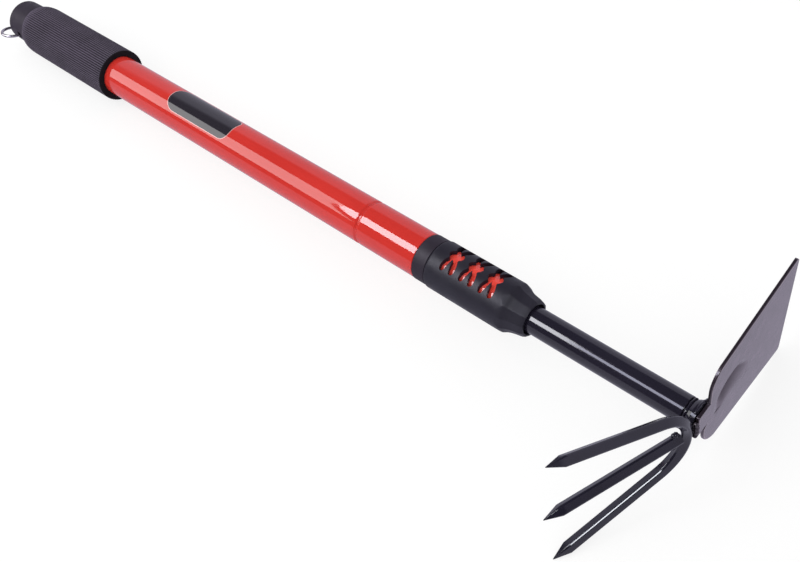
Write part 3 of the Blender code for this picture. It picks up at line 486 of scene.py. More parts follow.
def lock_nut(name):
    """Columns crowd at the flats' edges (15 degrees times sin), and rows at the arches, which lie
    where a flat is as far from the axis as the barrel's surface: radius times cos(angle from the
    flat's middle). The outside is the smaller of the barrel's radius and flat / cos(angle), with
    rounded edges. The inside is turned."""
    nose_x = np.linspace(-0.03, 1.0, 240)
    stops = [-0.03, 0.10, 0.21, 0.27, 0.36, 0.49, 0.67, 0.87, 0.92, 0.96, 1.0]
    depths = [1.03, 0.975, 0.90, 0.78, 0.60, 0.42, 0.27, 0.15, 0.11, 0.04, -0.06]
    depth = np.pad(np.interp(nose_x, stops, depths), 8, "edge")
    half_flat = NUT_TIP + (NUT_RADIUS - NUT_TIP) * np.convolve(depth, np.ones(17) / 17, "valid")
    nose_x = NUT_SHOULDER + (NUT_END - NUT_SHOULDER) * nose_x
    from_middle = FLAT_HALF * np.sin(np.pi / 2 * np.linspace(-1, 1, 21)[:-1])
    from_middle = np.tile(from_middle, FLATS)[None, :]
    angle = from_middle + NUT_TURN + np.repeat(np.arange(FLATS) * 2 * FLAT_HALF, 20)[None, :]
    arch = np.interp(-NUT_RADIUS * np.cos(from_middle), -half_flat, nose_x)
    chamfer = NUT_START + NUT_CHAMFER * np.linspace(0, 1, 6)[:, None] + 0 * angle
    barrel_length = arch - ARCH_BORDER - NUT_START - NUT_CHAMFER
    barrel = NUT_START + NUT_CHAMFER + barrel_length * np.linspace(0, 1, 25)[1:, None]
    border = arch + ARCH_BORDER * np.linspace(-1, 1, 11)[1:, None]
    flats = border[-1] + (NUT_END - border[-1]) * np.linspace(0, 1, 41)[1:, None]
    along = np.concatenate([chamfer, barrel, border, flats])
    flat = np.where(along < nose_x[0], half_flat[0], np.interp(along, nose_x, half_flat))
    next_flat = flat / np.cos(2 * FLAT_HALF - np.abs(from_middle))
    ring = gentler(flat / np.cos(from_middle), next_flat, 0.00016)
    eased = np.clip(1 - (along - NUT_START) / 0.0012, 0, 1) ** 1.5
    round_part = NUT_RADIUS - 0.0006 * eased
    outer = gentler(np.where(along < nose_x[0], 1.0, ring), round_part, 0.00006)
    inside = [(0, 0.0096), (0, 0.0094), (-0.0020, 0.0094), (-0.0035, 0.0086), (-0.0074, 0.0086)]
    inside += [(-0.0074, 0.0093), (-0.0194, 0.0111), (-0.0204, 0.0111), (-0.0204, NUT_BORE)]
    inside += [(NUT_START - NUT_END, NUT_BORE)]
    inner = np.array([(NUT_END + x, r) for x, r in inside])
    along = np.concatenate([along, inner[:, :1] + 0 * angle])
    radius = np.concatenate([outer, inner[:, 1:] + 0 * angle])
    grid = np.stack([along, radius * np.cos(angle), radius * np.sin(angle)], -1)
    return surface(name, grid, closed_rows=True, sharp=42)


def ornament():
    """One pierced ornament: a quarter outline, mirrored both ways, then smoothed to a closed cubic
    curve through its points, whose slope at a point is half the step between its neighbours."""
    quarter = [(4.9, 0.0), (4.3, 1.5), (3.1, 3.0), (4.0, 4.8), (4.7, 6.6), (5.0, 8.4), (4.9, 9.9)]
    quarter += [(4.3, 10.7), (3.2, 11.0), (2.1, 10.6), (1.4, 9.2), (1.0, 7.2), (0.6, 5.5), (0.0, 3.4)]
    q = np.array(quarter) / 1000
    outline = np.concatenate([q, (q * (-1, 1))[-2::-1], (q * (-1, -1))[1:], (q * (1, -1))[-2:0:-1]])
    p0, p1, p2, p3 = (np.roll(outline, shift, 0)[:, None] for shift in (1, 0, -1, -2))
    t = np.linspace(0, 1, 4, endpoint=False)[None, :, None]
    curve = p1 + t / 2 * (p2 - p0) + t**2 / 2 * (2 * p0 - 5 * p1 + 4 * p2 - p3)
    return (curve + t**3 / 2 * (3 * p1 - p0 - 3 * p2 + p3)).reshape(-1, 2)


def pierced(nut):
    """Cuts the ornaments through the nut's top and underside with six prisms. Their faces join each
    outline's points to the next ones and to the other end's, and each outline closes an end."""
    x, y = ornament().T
    middle = (ORNAMENT_FIRST + ORNAMENT_PITCH * np.arange(3))[:, None, None, None]
    z = np.array([1, -1])[:, None, None] * np.array([0.0050, 0.0200])[:, None]
    x, y, z = np.broadcast_arrays(middle + x, y, z)
    tilted_y = y * math.cos(NUT_TURN) - z * math.sin(NUT_TURN)
    tilted_z = y * math.sin(NUT_TURN) + z * math.cos(NUT_TURN)
    here = np.arange(x.size).reshape(6, 2, -1)
    following = np.roll(here, -1, 2)
    walls = np.stack([here[:, 0], following[:, 0], following[:, 1], here[:, 1]], -1)
    faces = walls.reshape(-1, 4).tolist() + here.reshape(12, -1).tolist()
    mesh = bpy.data.meshes.new("ornament_cut")
    mesh.from_pydata(np.stack([x, tilted_y, tilted_z], -1).reshape(-1, 3).tolist(), [], faces)
    cutter = closed_piece("ornament_cut", mesh, 40)
    step = nut.modifiers.new("pierce", "BOOLEAN")
    step.operation, step.solver, step.object = "DIFFERENCE", "EXACT", cutter
    drawn = nut.evaluated_get(bpy.context.evaluated_depsgraph_get())
    made = bpy.data.meshes.new_from_object(drawn)
    nut.modifiers.clear()
    nut.data = made
    bpy.data.objects.remove(cutter)
    made.shade_smooth()
    made.set_sharp_from_angle(angle=math.radians(38))
    return nut


nut_plastic = new_finish(
    "nut_black_plastic", (0.019, 0.017, 0.028), 0.42, Specular_IOR_Level=0.22
)
vary_roughness(nut_plastic, grain(nut_plastic, 180), 0.36, 0.48)
emboss(nut_plastic, grain(nut_plastic, 2200, detail=2), 0.000022, 0.5)
emboss(nut_plastic, grain(nut_plastic, 500), 0.00003, 0.25)
nut_stops = [(0.3, (0.017, 0.015, 0.025)), (0.7, (0.022, 0.020, 0.032))]
vary_colour(nut_plastic, grain(nut_plastic, 45), *nut_stops)
fit(pierced(lock_nut("black_lock_nut")), "nut", "black_plastic", nut_plastic, "lock_nut")

# The sliding tube is thin steel tube under glossy black paint, a little streaked by its drawing.
# A guide bush runs on its rear end, kept there by a rolled bead and a flanged plug.
INNER_START, INNER_END = (corner.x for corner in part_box("inner_tube"))
INNER_RADIUS = 0.00795
black_paint = new_finish("gloss_black_paint", (0.014, 0.012, 0.022), 0.5, Coat_Roughness=0.10, **GLOSS)
black_stops = [(0.3, (0.012, 0.010, 0.019)), (0.7, (0.016, 0.014, 0.025))]
vary_colour(black_paint, grain(black_paint, 50, (0.3, 1, 1)), *black_stops)
emboss(black_paint, grain(black_paint, 700, (0.5, 1, 1), detail=2), 0.000022, 0.5, coat=True)
BEAD_HALF, BEAD_HEIGHT = 0.0020, 0.0013
BEAD_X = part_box("rear_guide_bush")[1].x + 0.0023


def inner_radius(along):
    """The sliding tube's outer radius: level, plus one wave of a cosine at the rolled bead."""
    away = np.clip(np.abs(along - BEAD_X) / BEAD_HALF, 0, 1)
    return INNER_RADIUS + BEAD_HEIGHT * (1 + np.cos(np.pi * away)) / 2


bead = np.linspace(BEAD_X - 1.05 * BEAD_HALF, BEAD_X + 1.05 * BEAD_HALF, 17)
lengths = np.array([INNER_START, *bead, INNER_END - TUBE_BREAK, INNER_END])
outside = np.stack([lengths, inner_radius(lengths)], 1)
outside[-1, 1] -= TUBE_BREAK
inside = np.stack([lengths, inner_radius(lengths) - TUBE_WALL], 1)[::-1]
inner_tube = turned("black_sliding_tube", np.concatenate([outside, inside]), sharp=50)
fit(inner_tube, "head", "black_paint", black_paint, "inner_tube")
guide_bush = polished("rear_guide_bush", "guide_bush", 0.0002)
fit(guide_bush, "guide_bush", "black_plastic", black_plastic, "rear_guide_bush")
end_plug = polished("inner_end_plug", "end_plug", 0.0002)
fit(end_plug, "head", "black_plastic", black_plastic, "inner_end_plug")

# The neck is a turned steel stub, pressed into the tube's end and welded there. Its flared head
# carries the blade, and the fork's bar lies in its side. Paint covers all of it.
fit(polished("neck_stub", "neck", 0.0003), "head", "black_paint", black_paint, "neck_stub")


def weld_bead(name, path, radius, seed, closed=False):
    """A tube along a path, in the plane across each stretch. Its radius is swollen by ripples of the
    length and by smooth lumps, sums of sines with seeded phases. Open ends shrink to a point."""
    path = np.asarray(path, float)
    count = len(path)
    way = np.roll(path, -1, 0) - np.roll(path, 1, 0) if closed else np.gradient(path, axis=0)
    way /= np.linalg.norm(way, axis=1, keepdims=True)
    side = np.cross(way, (0.31, 0.22, 0.93))
    side /= np.linalg.norm(side, axis=1, keepdims=True)
    up = np.cross(side, way)
    phase = np.random.default_rng(seed).uniform(0, 2 * np.pi, 6)
    a = np.linspace(0, 1, count, endpoint=not closed)[:, None]
    b = np.linspace(0, 2 * np.pi, 14, endpoint=False)[None, :]
    lump = 0.16 * np.sin(2 * np.pi * 9 * a + phase[0])
    lump = lump + 0.10 * np.sin(2 * np.pi * 5 * a + phase[1] + b)
    lump = lump + 0.08 * np.sin(2 * np.pi * 14 * a + phase[2] + 2 * b)
    size = radius * (1 + lump)
    if not closed:
        size = size * np.sqrt(np.clip(1 - (2 * a - 1) ** 8, 0, 1))
    outwards = np.cos(b)[..., None] * side[:, None] + np.sin(b)[..., None] * up[:, None]
    grid = path[:, None] + size[..., None] * outwards
    return surface(name, grid, closed_rows=closed, sharp=180)


def weld_ring(name, centre_x, ring_radius, radius, seed, start=0.0, end=360.0):
    """A weld bead on a circle round the shaft, or on a part of it."""
    full = end - start >= 360
    a = np.radians(np.linspace(start, end, 90, endpoint=not full))
    path = np.stack([centre_x + 0 * a, ring_radius * np.cos(a), ring_radius * np.sin(a)], 1)
    return weld_bead(name, path, radius, seed, closed=full)


weld_low, weld_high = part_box("tube_weld")
tube_weld = weld_ring("tube_end_weld", (weld_low.x + weld_high.x) / 2, 0.00745, 0.00062, 3)
fit(tube_weld, "head", "black_paint", black_paint, "tube_weld")

# The hoe blade is pressed from steel sheet: a tapering plate with a tab at its rear, a slit beside
# the tab and an egg-shaped hollow that stiffens it. It was cut a little askew. Its paint is black,
# but dusty and soft, and looks mauve under the light.
BLADE_SHEET = 0.0017
BLADE_LEAN = math.radians(2.7)
blade_way = np.array([-math.sin(BLADE_LEAN), math.cos(BLADE_LEAN), 0.0])
blade_face = np.array([math.cos(BLADE_LEAN), math.sin(BLADE_LEAN), 0.0])
NECK_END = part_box("neck_stub")[1].x
blade_root = np.array([NECK_END + 0.0003 + 0.0086 * math.tan(BLADE_LEAN) + BLADE_SHEET, 0.0, 0.0])
# The upper (+Z) side and the lower side: where the ear starts along the blade, its half width and
# its corner's radius, then where the side ends and its half width there.
EAR_START, EAR_HALF, EAR_ROUND = (0.0046, 0.0010), (0.0283, 0.0305), (0.0110, 0.0165)
SIDE_END, SIDE_HALF = (0.0876, 0.0842), (0.0376, 0.0369)
CUTTING_EDGE, EDGE_CORNER = 0.0859, 0.0030
TAB_END, TAB_HALF, TAB_CORNER = -0.0056, 0.0080, 0.0010
SLIT_OUTER = 0.0102
SHEARED_FRONT, SHEARED_BACK = 0.0007, 0.0003
# The painted highlight: a pale line this far in from the rear and upper borders, and half as wide as
# this.
HIGHLIGHT_LINE, HIGHLIGHT_HALF = 0.00085, 0.00035
HOLLOW_MIDDLE, HOLLOW_LOW, HOLLOW_REACH, HOLLOW_HEIGHT = 0.0270, -0.0080, 0.0190, 0.0195
HOLLOW_DEEPEST, HOLLOW_DEPTH = 0.0200, 0.0042
HOLLOW_TO_FRONT, HOLLOW_TO_REAR = 0.0240, 0.0100
HOLLOW_WALL, HOLLOW_LEVEL, HOLLOW_RUN_OUT = 0.0055, 0.0045, 0.0150
coat = {"Coat_Weight": 1.0, "Coat_Roughness": 0.20, "Coat_IOR": 1.6, "Coat_Tint": (0.88, 0.66, 0.80, 1)}
blade_paint = new_finish("blade_black_paint", (0.010, 0.008, 0.011), 0.4, **coat)
# The top stop is the pale painted highlight beside the borders; the lower stops are the paint's random
# tone.
paint_stops = [(0.0, (0.007, 0.005, 0.008)), (0.2, (0.011, 0.008, 0.012))]
paint_stops += [(0.5, (0.02, 0.015, 0.016)), (1.0, (0.36, 0.40, 0.34))]
tone_and_highlight = marked(blade_paint, "painted_highlight", graded(blade_paint, grain(blade_paint, 55), 0.0, 0.2))
vary_colour(blade_paint, tone_and_highlight, *paint_stops)
emboss(blade_paint, grain(blade_paint, 900, detail=3), 0.00003, 0.5, coat=True)
vary_roughness(blade_paint, grain(blade_paint, 160), 0.34, 0.48)


def blade_hollow(along, across):
    """How deep the pressed hollow is. Its upper edge is an arc of an ellipse. Below the edge the
    depth rises by a smooth step, 3u^2 - 2u^3, and runs out again as (1 - v)^2. Along the blade it
    is (1 - w^2)^2, where w reaches further to the front than to the rear."""
    arc = 1 - ((along - HOLLOW_MIDDLE) / HOLLOW_REACH) ** 2
    below = HOLLOW_LOW + HOLLOW_HEIGHT * np.sqrt(np.maximum(arc, 0)) - across
    u = np.clip(below / HOLLOW_WALL, 0, 1)
    v = np.clip((below - HOLLOW_LEVEL) / HOLLOW_RUN_OUT, 0, 1)
    w = (along - HOLLOW_DEEPEST) / np.where(along > HOLLOW_DEEPEST, HOLLOW_TO_FRONT, HOLLOW_TO_REAR)
    return HOLLOW_DEPTH * (3 * u**2 - 2 * u**3) * (1 - v) ** 2 * np.maximum(1 - w**2, 0) ** 2


def blade_sides(across):
    """For places across the rear edge: where the blade starts there, where it ends, the place's share
    of its side, and the side's sizes. Corners are arcs: r (1 - sqrt(1 - c^2)), where c is how far the
    place reaches into the corner."""
    upper = across > 0
    size = np.abs(across)
    ear, ear_half, ear_round = (np.where(upper, *pair) for pair in (EAR_START, EAR_HALF, EAR_ROUND))
    end, end_half = np.where(upper, *SIDE_END), np.where(upper, *SIDE_HALF)

    def corner(radius, reach, half):
        """How far a corner draws an edge in, at a reach from the middle of an edge so wide."""
        into = np.clip((reach - (half - radius)) / radius, 0, 1)
        return radius * (1 - np.sqrt(1 - into**2))

    rear = ear + corner(ear_round, size, ear_half)
    tab = TAB_END + corner(TAB_CORNER, size, TAB_HALF)
    deeper = np.clip((size - 0.0086) / 0.0016, 0, 1)
    slit = np.where(upper, EAR_START[0], 0.0031 - 0.0021 * deeper)
    rear = np.where(size < TAB_HALF, tab, np.where(size < SLIT_OUTER, slit, rear))
    share = size / ear_half
    along_edge = CUTTING_EDGE + (SIDE_END[0] - SIDE_END[1]) / 2 * np.sign(across) * share
    front = along_edge - corner(EDGE_CORNER, share * end_half, end_half)
    return rear, front, share, ear, ear_half, end, end_half


def hoe_blade(name, rows=130):
    """Columns fan out across the blade, rows run from the rear edge to the cutting edge. The sheet is
    the front grid, a rim and the back grid, a thickness behind it. Where the sheet was sheared, its
    borders are a quarter round, r - sqrt(r^2 - (r - distance to the border)^2), larger in front. A
    pale line is painted on the front beside the rear and upper borders: a painted highlight, where
    the sheared edge catches the light."""
    quarter = np.linspace(0, np.pi / 2, 22)
    halves = []
    middle = np.linspace(0, 0.0068, 12)[1:]
    slit = [0.0070, 0.0074, 0.0077, 0.0079, 0.00799, 0.00801]
    slit += [0.0086, 0.0092, 0.0100, 0.01019, 0.01021]
    for ear_half, ear_round in zip(EAR_HALF, EAR_ROUND):
        plain = np.linspace(SLIT_OUTER, ear_half - ear_round, 10)[1:]
        bend = ear_half - ear_round + ear_round * np.sin(quarter[1:])
        halves.append(np.concatenate([middle, slit, plain, bend]))
    across = np.concatenate([-halves[1][::-1], [0.0], halves[0]])
    rear, front, share, ear, ear_half, end, end_half = blade_sides(across)
    near_edge = [0.0, 0.0003, 0.0012, 0.0030, 0.0058, 0.0090]
    s = np.concatenate([near_edge, np.linspace(0.0140, 1, rows - 6)])[:, None]
    along = rear + s * (front - rear)
    half = ear_half + (end_half - ear_half) * np.clip((along - ear) / (end - ear), 0, 1)
    sideways = np.sign(across) * share * half
    depth = blade_hollow(along, sideways)
    flat = blade_root + along[..., None] * blade_way + sideways[..., None] * np.array([0, 0, 1.0])
    to_rear, to_side = s * (front - rear), (1 - share) * half

    def sheared(radius):
        """How far the quarter round lies under the face, at each point."""
        into = np.clip(1 - np.minimum(to_rear, to_side) / radius, 0, 1)
        return radius * (1 - np.sqrt(1 - into**2))

    front_side = flat - (depth + sheared(SHEARED_FRONT))[..., None] * blade_face
    back_side = flat - (depth + BLADE_SHEET - sheared(SHEARED_BACK))[..., None] * blade_face
    here = np.arange(across.size * rows).reshape(rows, across.size)
    cells = np.stack([here[:-1, :-1], here[1:, :-1], here[1:, 1:], here[:-1, 1:]], -1).reshape(-1, 4)
    edge = np.concatenate([here[0], here[1:, -1], here[-1, -2::-1], here[-2:0:-1, 0]])
    following = np.roll(edge, -1)
    rim = np.stack([edge, following, following + here.size, edge + here.size], -1)
    points = np.concatenate([front_side.reshape(-1, 3), back_side.reshape(-1, 3)])
    faces = np.concatenate([cells, cells[:, ::-1] + here.size, rim])
    mesh = bpy.data.meshes.new(name)
    mesh.from_pydata(points.tolist(), [], faces.tolist())
    # The painted highlight line lies beside the rear border, and beside the upper side on the upper
    # half, on the front grid only.
    to_highlight_line = np.where(across > 0, np.minimum(to_rear, to_side), to_rear)
    painted_highlight = np.stack([np.clip(1.3 - np.abs(to_highlight_line - HIGHLIGHT_LINE) / HIGHLIGHT_HALF, 0, 1), 0 * to_highlight_line])
    mesh.attributes.new("painted_highlight", "FLOAT", "POINT").data.foreach_set("value", painted_highlight.ravel())
    return closed_piece(name, mesh, 40)


fit(hoe_blade("pressed_hoe_blade"), "head", "black_paint", blade_paint, "hoe_blade")
weld_low, weld_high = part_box("blade_weld")
blade_weld = weld_ring("blade_back_weld", weld_high.x - 0.0008, 0.00965, 0.00085, 8, -120, 120)
fit(blade_weld, "head", "black_paint", black_paint, "blade_weld")

# The fork is forged from square steel bar, laid on edge. One bar is bent round the neck and makes
# both outer prongs, and a shorter bar is welded inside the bend. All three end in four-sided points.
FORK_LEAN = math.radians(18.1)
fork_down = np.array([-math.sin(FORK_LEAN), -math.cos(FORK_LEAN), 0.0])
fork_across = np.array([0.0, 0.0, 1.0])
fork_normal = np.cross(fork_down, fork_across)
fork_root = np.array([INNER_END + 0.0076, -0.0089, 0.0])
BAR_HALF = 0.00265
CORNER_LIMIT = 1.22
POINT_LENGTH = 0.0095
POINT_SHARES = np.array([0.35, 0.7, 1.0])
POINT_SIZES = 1 - 0.94 * POINT_SHARES
BOW_SETBACK, BOW_RADIUS = 0.0026, 0.0246
OUTER_REACH, OUTER_SPLAY = 0.0829, math.radians(19.7)
MIDDLE_START, MIDDLE_REACH = 0.0068, 0.0864
BEND_TWIST = math.radians(21)


def square_bar(name, path, way, size, twist=0.0):
    """A bar along a path in the fork's plane. Its section is a square on edge with flattened, rounded
    corners: reach = half / (cos^12 + sin^12)^(1/12), and at most limit * half / cos(angle from the
    corner). It is turned by the twist, and shrinks with the size at each point."""
    angle = np.linspace(0, 2 * np.pi, 96, endpoint=False)
    square = 1 / (np.abs(np.cos(angle)) ** 12 + np.abs(np.sin(angle)) ** 12) ** (1 / 12)
    square = gentler(square, CORNER_LIMIT / np.cos(angle % (np.pi / 2) - np.pi / 4), 0.02)
    turned_angle = angle + np.pi / 4 + np.broadcast_to(twist, len(path))[:, None]
    u, w = BAR_HALF * square * np.cos(turned_angle), BAR_HALF * square * np.sin(turned_angle)
    beside = np.stack([-way[:, 1], way[:, 0]], 1)
    flat = path[:, None] + (size[:, None] * u)[..., None] * beside[:, None]
    grid = fork_root + flat[..., :1] * fork_down + flat[..., 1:] * fork_across
    grid = grid + (size[:, None] * w)[..., None] * fork_normal
    ends = [np.repeat(grid[i].mean(0)[None], len(angle), 0)[None] for i in (0, -1)]
    return surface(name, np.concatenate([ends[0], grid, ends[1]]), sharp=50)


def bow_path():
    """The outer prongs' centre line: straight, round the neck on an arc, and straight again. With it
    go its direction, its size, which shrinks along the points, and its twist, which grows along the
    lower half of the arc."""
    turn = math.pi / 2 - OUTER_SPLAY
    a = np.linspace(-turn, turn, 49)
    arc = np.stack([BOW_SETBACK + BOW_RADIUS - BOW_RADIUS * np.cos(a), BOW_RADIUS * np.sin(a)], 1)
    arc_way = np.stack([np.sin(a), np.cos(a)], 1)
    outwards = np.array([math.cos(OUTER_SPLAY), math.sin(OUTER_SPLAY)])
    tip = np.array([OUTER_REACH, arc[-1, 1] + (OUTER_REACH - arc[-1, 0]) * math.tan(OUTER_SPLAY)])
    shoulder = tip - POINT_LENGTH * outwards
    run = arc[-1] + np.linspace(0, 1, 26)[1:, None] * (shoulder - arc[-1])
    leg = np.concatenate([run, shoulder + POINT_SHARES[:, None] * (tip - shoulder)])
    leg_way = np.repeat(outwards[None], len(leg), 0)
    leg_size = np.concatenate([np.ones(len(run)), POINT_SIZES])
    mirror = np.array([1, -1])
    path = np.concatenate([(leg * mirror)[::-1], arc, leg])
    way = np.concatenate([(leg_way * mirror)[::-1] * -1, arc_way, leg_way])
    size = np.concatenate([leg_size[::-1], np.ones(len(arc)), leg_size])
    twist = np.concatenate([np.ones(len(leg)), np.clip(-a / turn, 0, 1), np.zeros(len(leg))])
    return path, way, size, BEND_TWIST * twist


fork_paint = new_finish("fork_black_paint", (0.012, 0.010, 0.020), 0.5, Coat_Roughness=0.12, **GLOSS)
fork_stops = [(0.3, (0.009, 0.008, 0.016)), (0.7, (0.014, 0.012, 0.024))]
vary_colour(fork_paint, grain(fork_paint, 70), *fork_stops)
emboss(fork_paint, grain(fork_paint, 700, detail=3), 0.000008, 0.4, coat=True)
emboss(fork_paint, grain(fork_paint, 150), 0.00003, 0.4, coat=True)
vary_roughness(fork_paint, grain(fork_paint, 140), 0.28, 0.46)
fit(square_bar("forged_outer_prongs", *bow_path()), "head", "black_paint", fork_paint, "outer_prongs")
run = np.linspace(MIDDLE_START, MIDDLE_REACH - POINT_LENGTH, 30)
run = np.concatenate([run, MIDDLE_REACH - POINT_LENGTH * (1 - POINT_SHARES)])
middle_path = np.stack([run, 0 * run], 1)
middle_way = np.repeat([[1.0, 0.0]], len(run), 0)
middle_size = np.concatenate([np.ones(30), POINT_SIZES])
middle_prong = square_bar("forged_middle_prong", middle_path, middle_way, middle_size)
fit(middle_prong, "head", "black_paint", fork_paint, "middle_prong")

# Two short beads hold the middle prong in the bend, above it and below it. They were laid down the
# fork with a small weave, and painted with it.
WELD_SIZE = 0.0013
for node, seed in (("fork_weld_upper", 21), ("fork_weld_lower", 19)):
    low, high = (np.array(corner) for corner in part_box(node))
    share = np.linspace(0, 1, 24)[:, None]
    start = (low + high) / 2 - 0.0010 * fork_down
    path = start + share * 0.0026 * fork_down + 0.0004 * np.sin(9 * share) * fork_across
    fit(weld_bead(node + "_bead", path, WELD_SIZE, seed), "head", "black_paint", black_paint, node)

# A long bead fills the corner between the bow's bend and the blade's tab. It follows an arc outside
# the bow's centre line: reach = setback + bow radius - sqrt(arc^2 - sideways^2).
BOW_WELD_ARC, BOW_WELD_TOP, BOW_WELD_FOOT = 0.02965, 0.0009, 0.0027
low, high = (np.array(corner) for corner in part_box("bow_weld"))
sideways = np.linspace(high[2] - BOW_WELD_TOP, low[2] + BOW_WELD_FOOT, 40)
reach = BOW_SETBACK + BOW_RADIUS - np.sqrt(BOW_WELD_ARC**2 - sideways**2)
path = fork_root + reach[:, None] * fork_down + sideways[:, None] * fork_across - 0.0008 * fork_normal
fit(weld_bead("bow_weld_bead", path, WELD_SIZE, 31), "head", "black_paint", blade_paint, "bow_weld")

# The stage is a white floor under the tool, as it lies on its grip, a prong and a blade corner, and
# a plain studio: a pale surround, one large soft lamp that lights the tool, and four that only show
# in its gloss.
FLOOR_MIDDLE, FLOOR_HALF, FLOOR_GAP = 0.4, 4.0, 0.0004
MIRRORED_WHITE = (0.54, 0.53, 0.64, 1)
grip_contact, prong_contact = (0.030, 0.0, -GRIP_RADIUS), (0.5853, -0.0873, -0.0464)
contact = np.array([grip_contact, prong_contact, (0.6080, 0.0838, -0.0372)])
level_at = np.column_stack([contact[:, :2], np.ones(3)])
slope = np.linalg.solve(level_at, contact[:, 2] - FLOOR_GAP)
corners = np.array([(-1, -1), (1, -1), (1, 1), (-1, 1)]) * FLOOR_HALF + (FLOOR_MIDDLE, 0)
heights = corners @ slope[:2] + slope[2]
floor_mesh = bpy.data.meshes.new("floor")
floor_mesh.from_pydata(np.column_stack([corners, heights]).tolist(), [], [(0, 1, 2, 3)])
floor = bpy.data.objects.new("floor", floor_mesh)
bpy.context.scene.collection.objects.link(floor)


def even_light(tree, kind, colour=(1, 1, 1, 1), strength=1.0):
    """A light of one colour and strength, an emission on the floor or a background in the world."""
    light = tree.nodes.new(kind)
    light.inputs["Color"].default_value = colour
    light.inputs["Strength"].default_value = strength
    return light


floor_finish = bpy.data.materials.new("white_floor")
floor_finish.use_nodes = True
floor_tree = floor_finish.node_tree
floor_shader = floor_tree.nodes["Principled BSDF"]
floor_shader.inputs["Base Color"].default_value = (0.86, 0.86, 0.86, 1)
floor_shader.inputs["Roughness"].default_value = 0.9
floor_shader.inputs["Specular IOR Level"].default_value = 0.1
# Camera rays see the floor three quarters white, and mirror rays see a dim, even glow.
MIX = "ShaderNodeMixShader"
rays = floor_tree.nodes.new("ShaderNodeLightPath").outputs
white = even_light(floor_tree, "ShaderNodeEmission", strength=1.06)
glow = even_light(floor_tree, "ShaderNodeEmission", MIRRORED_WHITE)
seen = graded(floor_finish, rays["Is Camera Ray"], 0, 0.75, 0, 1)
lit = joined(floor_tree, MIX, seen, floor_shader.outputs[0], white.outputs[0])
lit = joined(floor_tree, MIX, rays["Is Glossy Ray"], lit, glow.outputs[0])
floor_tree.links.new(lit, floor_tree.nodes["Material Output"].inputs["Surface"])
floor_mesh.materials.append(floor_finish)

# The surround lights evenly and is white to the camera. In gloss it is dark, but for a pale band low
# behind the tool.
surround = bpy.data.worlds.new("studio")
bpy.context.scene.world = surround
surround.use_nodes = True
tree = surround.node_tree
direction = tree.nodes.new("ShaderNodeTexCoord")
split = tree.nodes.new("ShaderNodeSeparateXYZ")
tree.links.new(direction.outputs["Generated"], split.inputs[0])
behind = graded(surround, split.outputs["Y"], 0, 1, -0.15, 0.15)
under = graded(surround, split.outputs["Z"], 0, 1, 0.68, 0.60)
ramp = tree.nodes.new("ShaderNodeValToRGB")
ramp.color_ramp.elements[0].color = (0.07, 0.07, 0.09, 1)
ramp.color_ramp.elements[1].color = MIRRORED_WHITE
band = joined(tree, "ShaderNodeMath", behind, under)
band.node.operation = "MULTIPLY"
tree.links.new(band, ramp.inputs["Fac"])
in_gloss = even_light(tree, "ShaderNodeBackground")
tree.links.new(ramp.outputs["Color"], in_gloss.inputs["Color"])
on_surfaces = even_light(tree, "ShaderNodeBackground", strength=0.85)
to_camera = even_light(tree, "ShaderNodeBackground")
rays = tree.nodes.new("ShaderNodeLightPath").outputs
lit = joined(tree, MIX, rays["Is Glossy Ray"], on_surfaces.outputs[0], in_gloss.outputs[0])
lit = joined(tree, MIX, rays["Is Camera Ray"], lit, to_camera.outputs[0])
tree.links.new(lit, tree.nodes["World Output"].inputs["Surface"])


def standing(right, up, back, place):
    """The place of a lamp or camera as a matrix, from its three axes and its position."""
    return Matrix([[right[i], up[i], back[i], place[i]] for i in range(3)] + [[0, 0, 0, 1]])


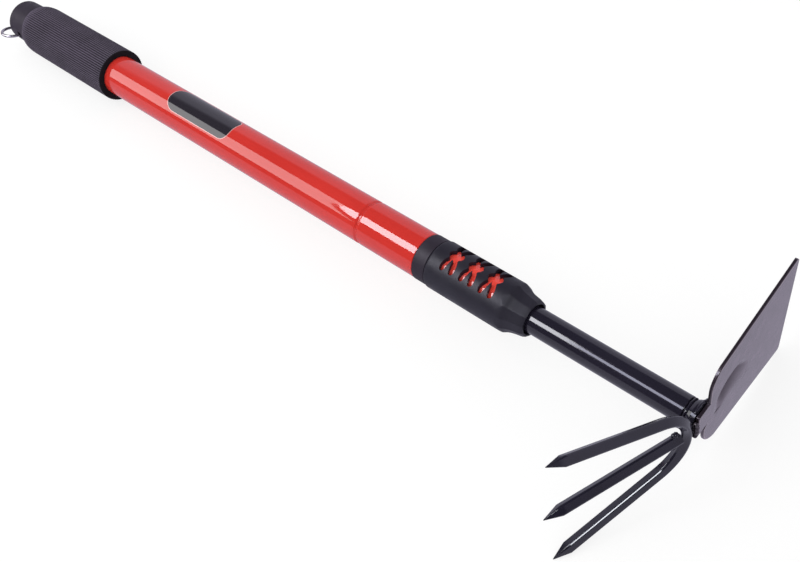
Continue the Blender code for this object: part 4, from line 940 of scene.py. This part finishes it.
def panel(name, centre, target, width, height, radiance, shows_in_gloss, tint=(1, 1, 1)):
    """A rectangular lamp that faces a point, with its width along the shaft. It either lights the
    object or shows in its gloss. Power = radiance * pi * area."""
    lamp = bpy.data.lights.new(name, "AREA")
    lamp.color = tint
    lamp.shape, lamp.size, lamp.size_y = "RECTANGLE", width, height
    lamp.energy = radiance * math.pi * width * height
    back = np.array(centre, float) - np.array(target, float)
    back /= np.linalg.norm(back)
    right = np.array([1.0, 0.0, 0.0]) - back[0] * back
    right /= np.linalg.norm(right)
    up = np.cross(back, right)
    item = bpy.data.objects.new(name, lamp)
    item.matrix_world = standing(right, up, back, centre)
    item.visible_glossy, item.visible_diffuse = shows_in_gloss, not shows_in_gloss
    bpy.context.scene.collection.objects.link(item)


panel("key_softbox", (0.125, -0.545, 0.780), (0.125, 0, 0), 0.86, 0.765, 1.6, False)
panel("key_gleam", (-0.070, -0.535, 0.765), (-0.070, 0, 0), 0.47, 0.50, 10.8, True, (0.94, 0.94, 1.0))
panel("key_gleam_end", (0.350, -0.535, 0.765), (0.350, 0, 0), 0.37, 0.29, 6.5, True, (0.80, 0.81, 1.0))
HEAD_MIDDLE = (0.595, -0.050, -0.030)
panel("head_gleam", (0.805, -0.487, 0.845), HEAD_MIDDLE, 0.24, 0.20, 20.0, True, (0.90, 0.94, 1.0))
panel("side_gleam", (-0.830, -0.600, 0.600), (-0.830, 0, 0), 1.14, 0.75, 3.0, True)

# The camera stands where the photograph's perspective puts it. The focal length is in pixels of a
# picture 800 wide.
SENSOR, FOCAL_PIXELS, PICTURE_WIDTH = 36.0, 1053.23, 800
TURN, RISE, ROLL = (math.radians(a) for a in (52.643, 49.233, -12.997))
back = np.array([math.sin(TURN) * math.cos(RISE), -math.cos(TURN) * math.cos(RISE), math.sin(RISE)])
level = np.array([math.cos(TURN), math.sin(TURN), 0.0])
above = np.cross(back, level)
right = level * math.cos(ROLL) + above * math.sin(ROLL)
up = above * math.cos(ROLL) - level * math.sin(ROLL)
lens = bpy.data.cameras.new("camera")
lens.sensor_width = SENSOR
lens.lens = SENSOR * FOCAL_PIXELS / PICTURE_WIDTH
lens.clip_start, lens.clip_end = 0.01, 30.0
camera = bpy.data.objects.new("camera", lens)
place = (0.741200, -0.261933, 0.456601)
camera.matrix_world = standing(right, up, back, place)
bpy.context.scene.collection.objects.link(camera)
bpy.context.scene.camera = camera
bpy.context.scene.view_settings.view_transform = "Standard"
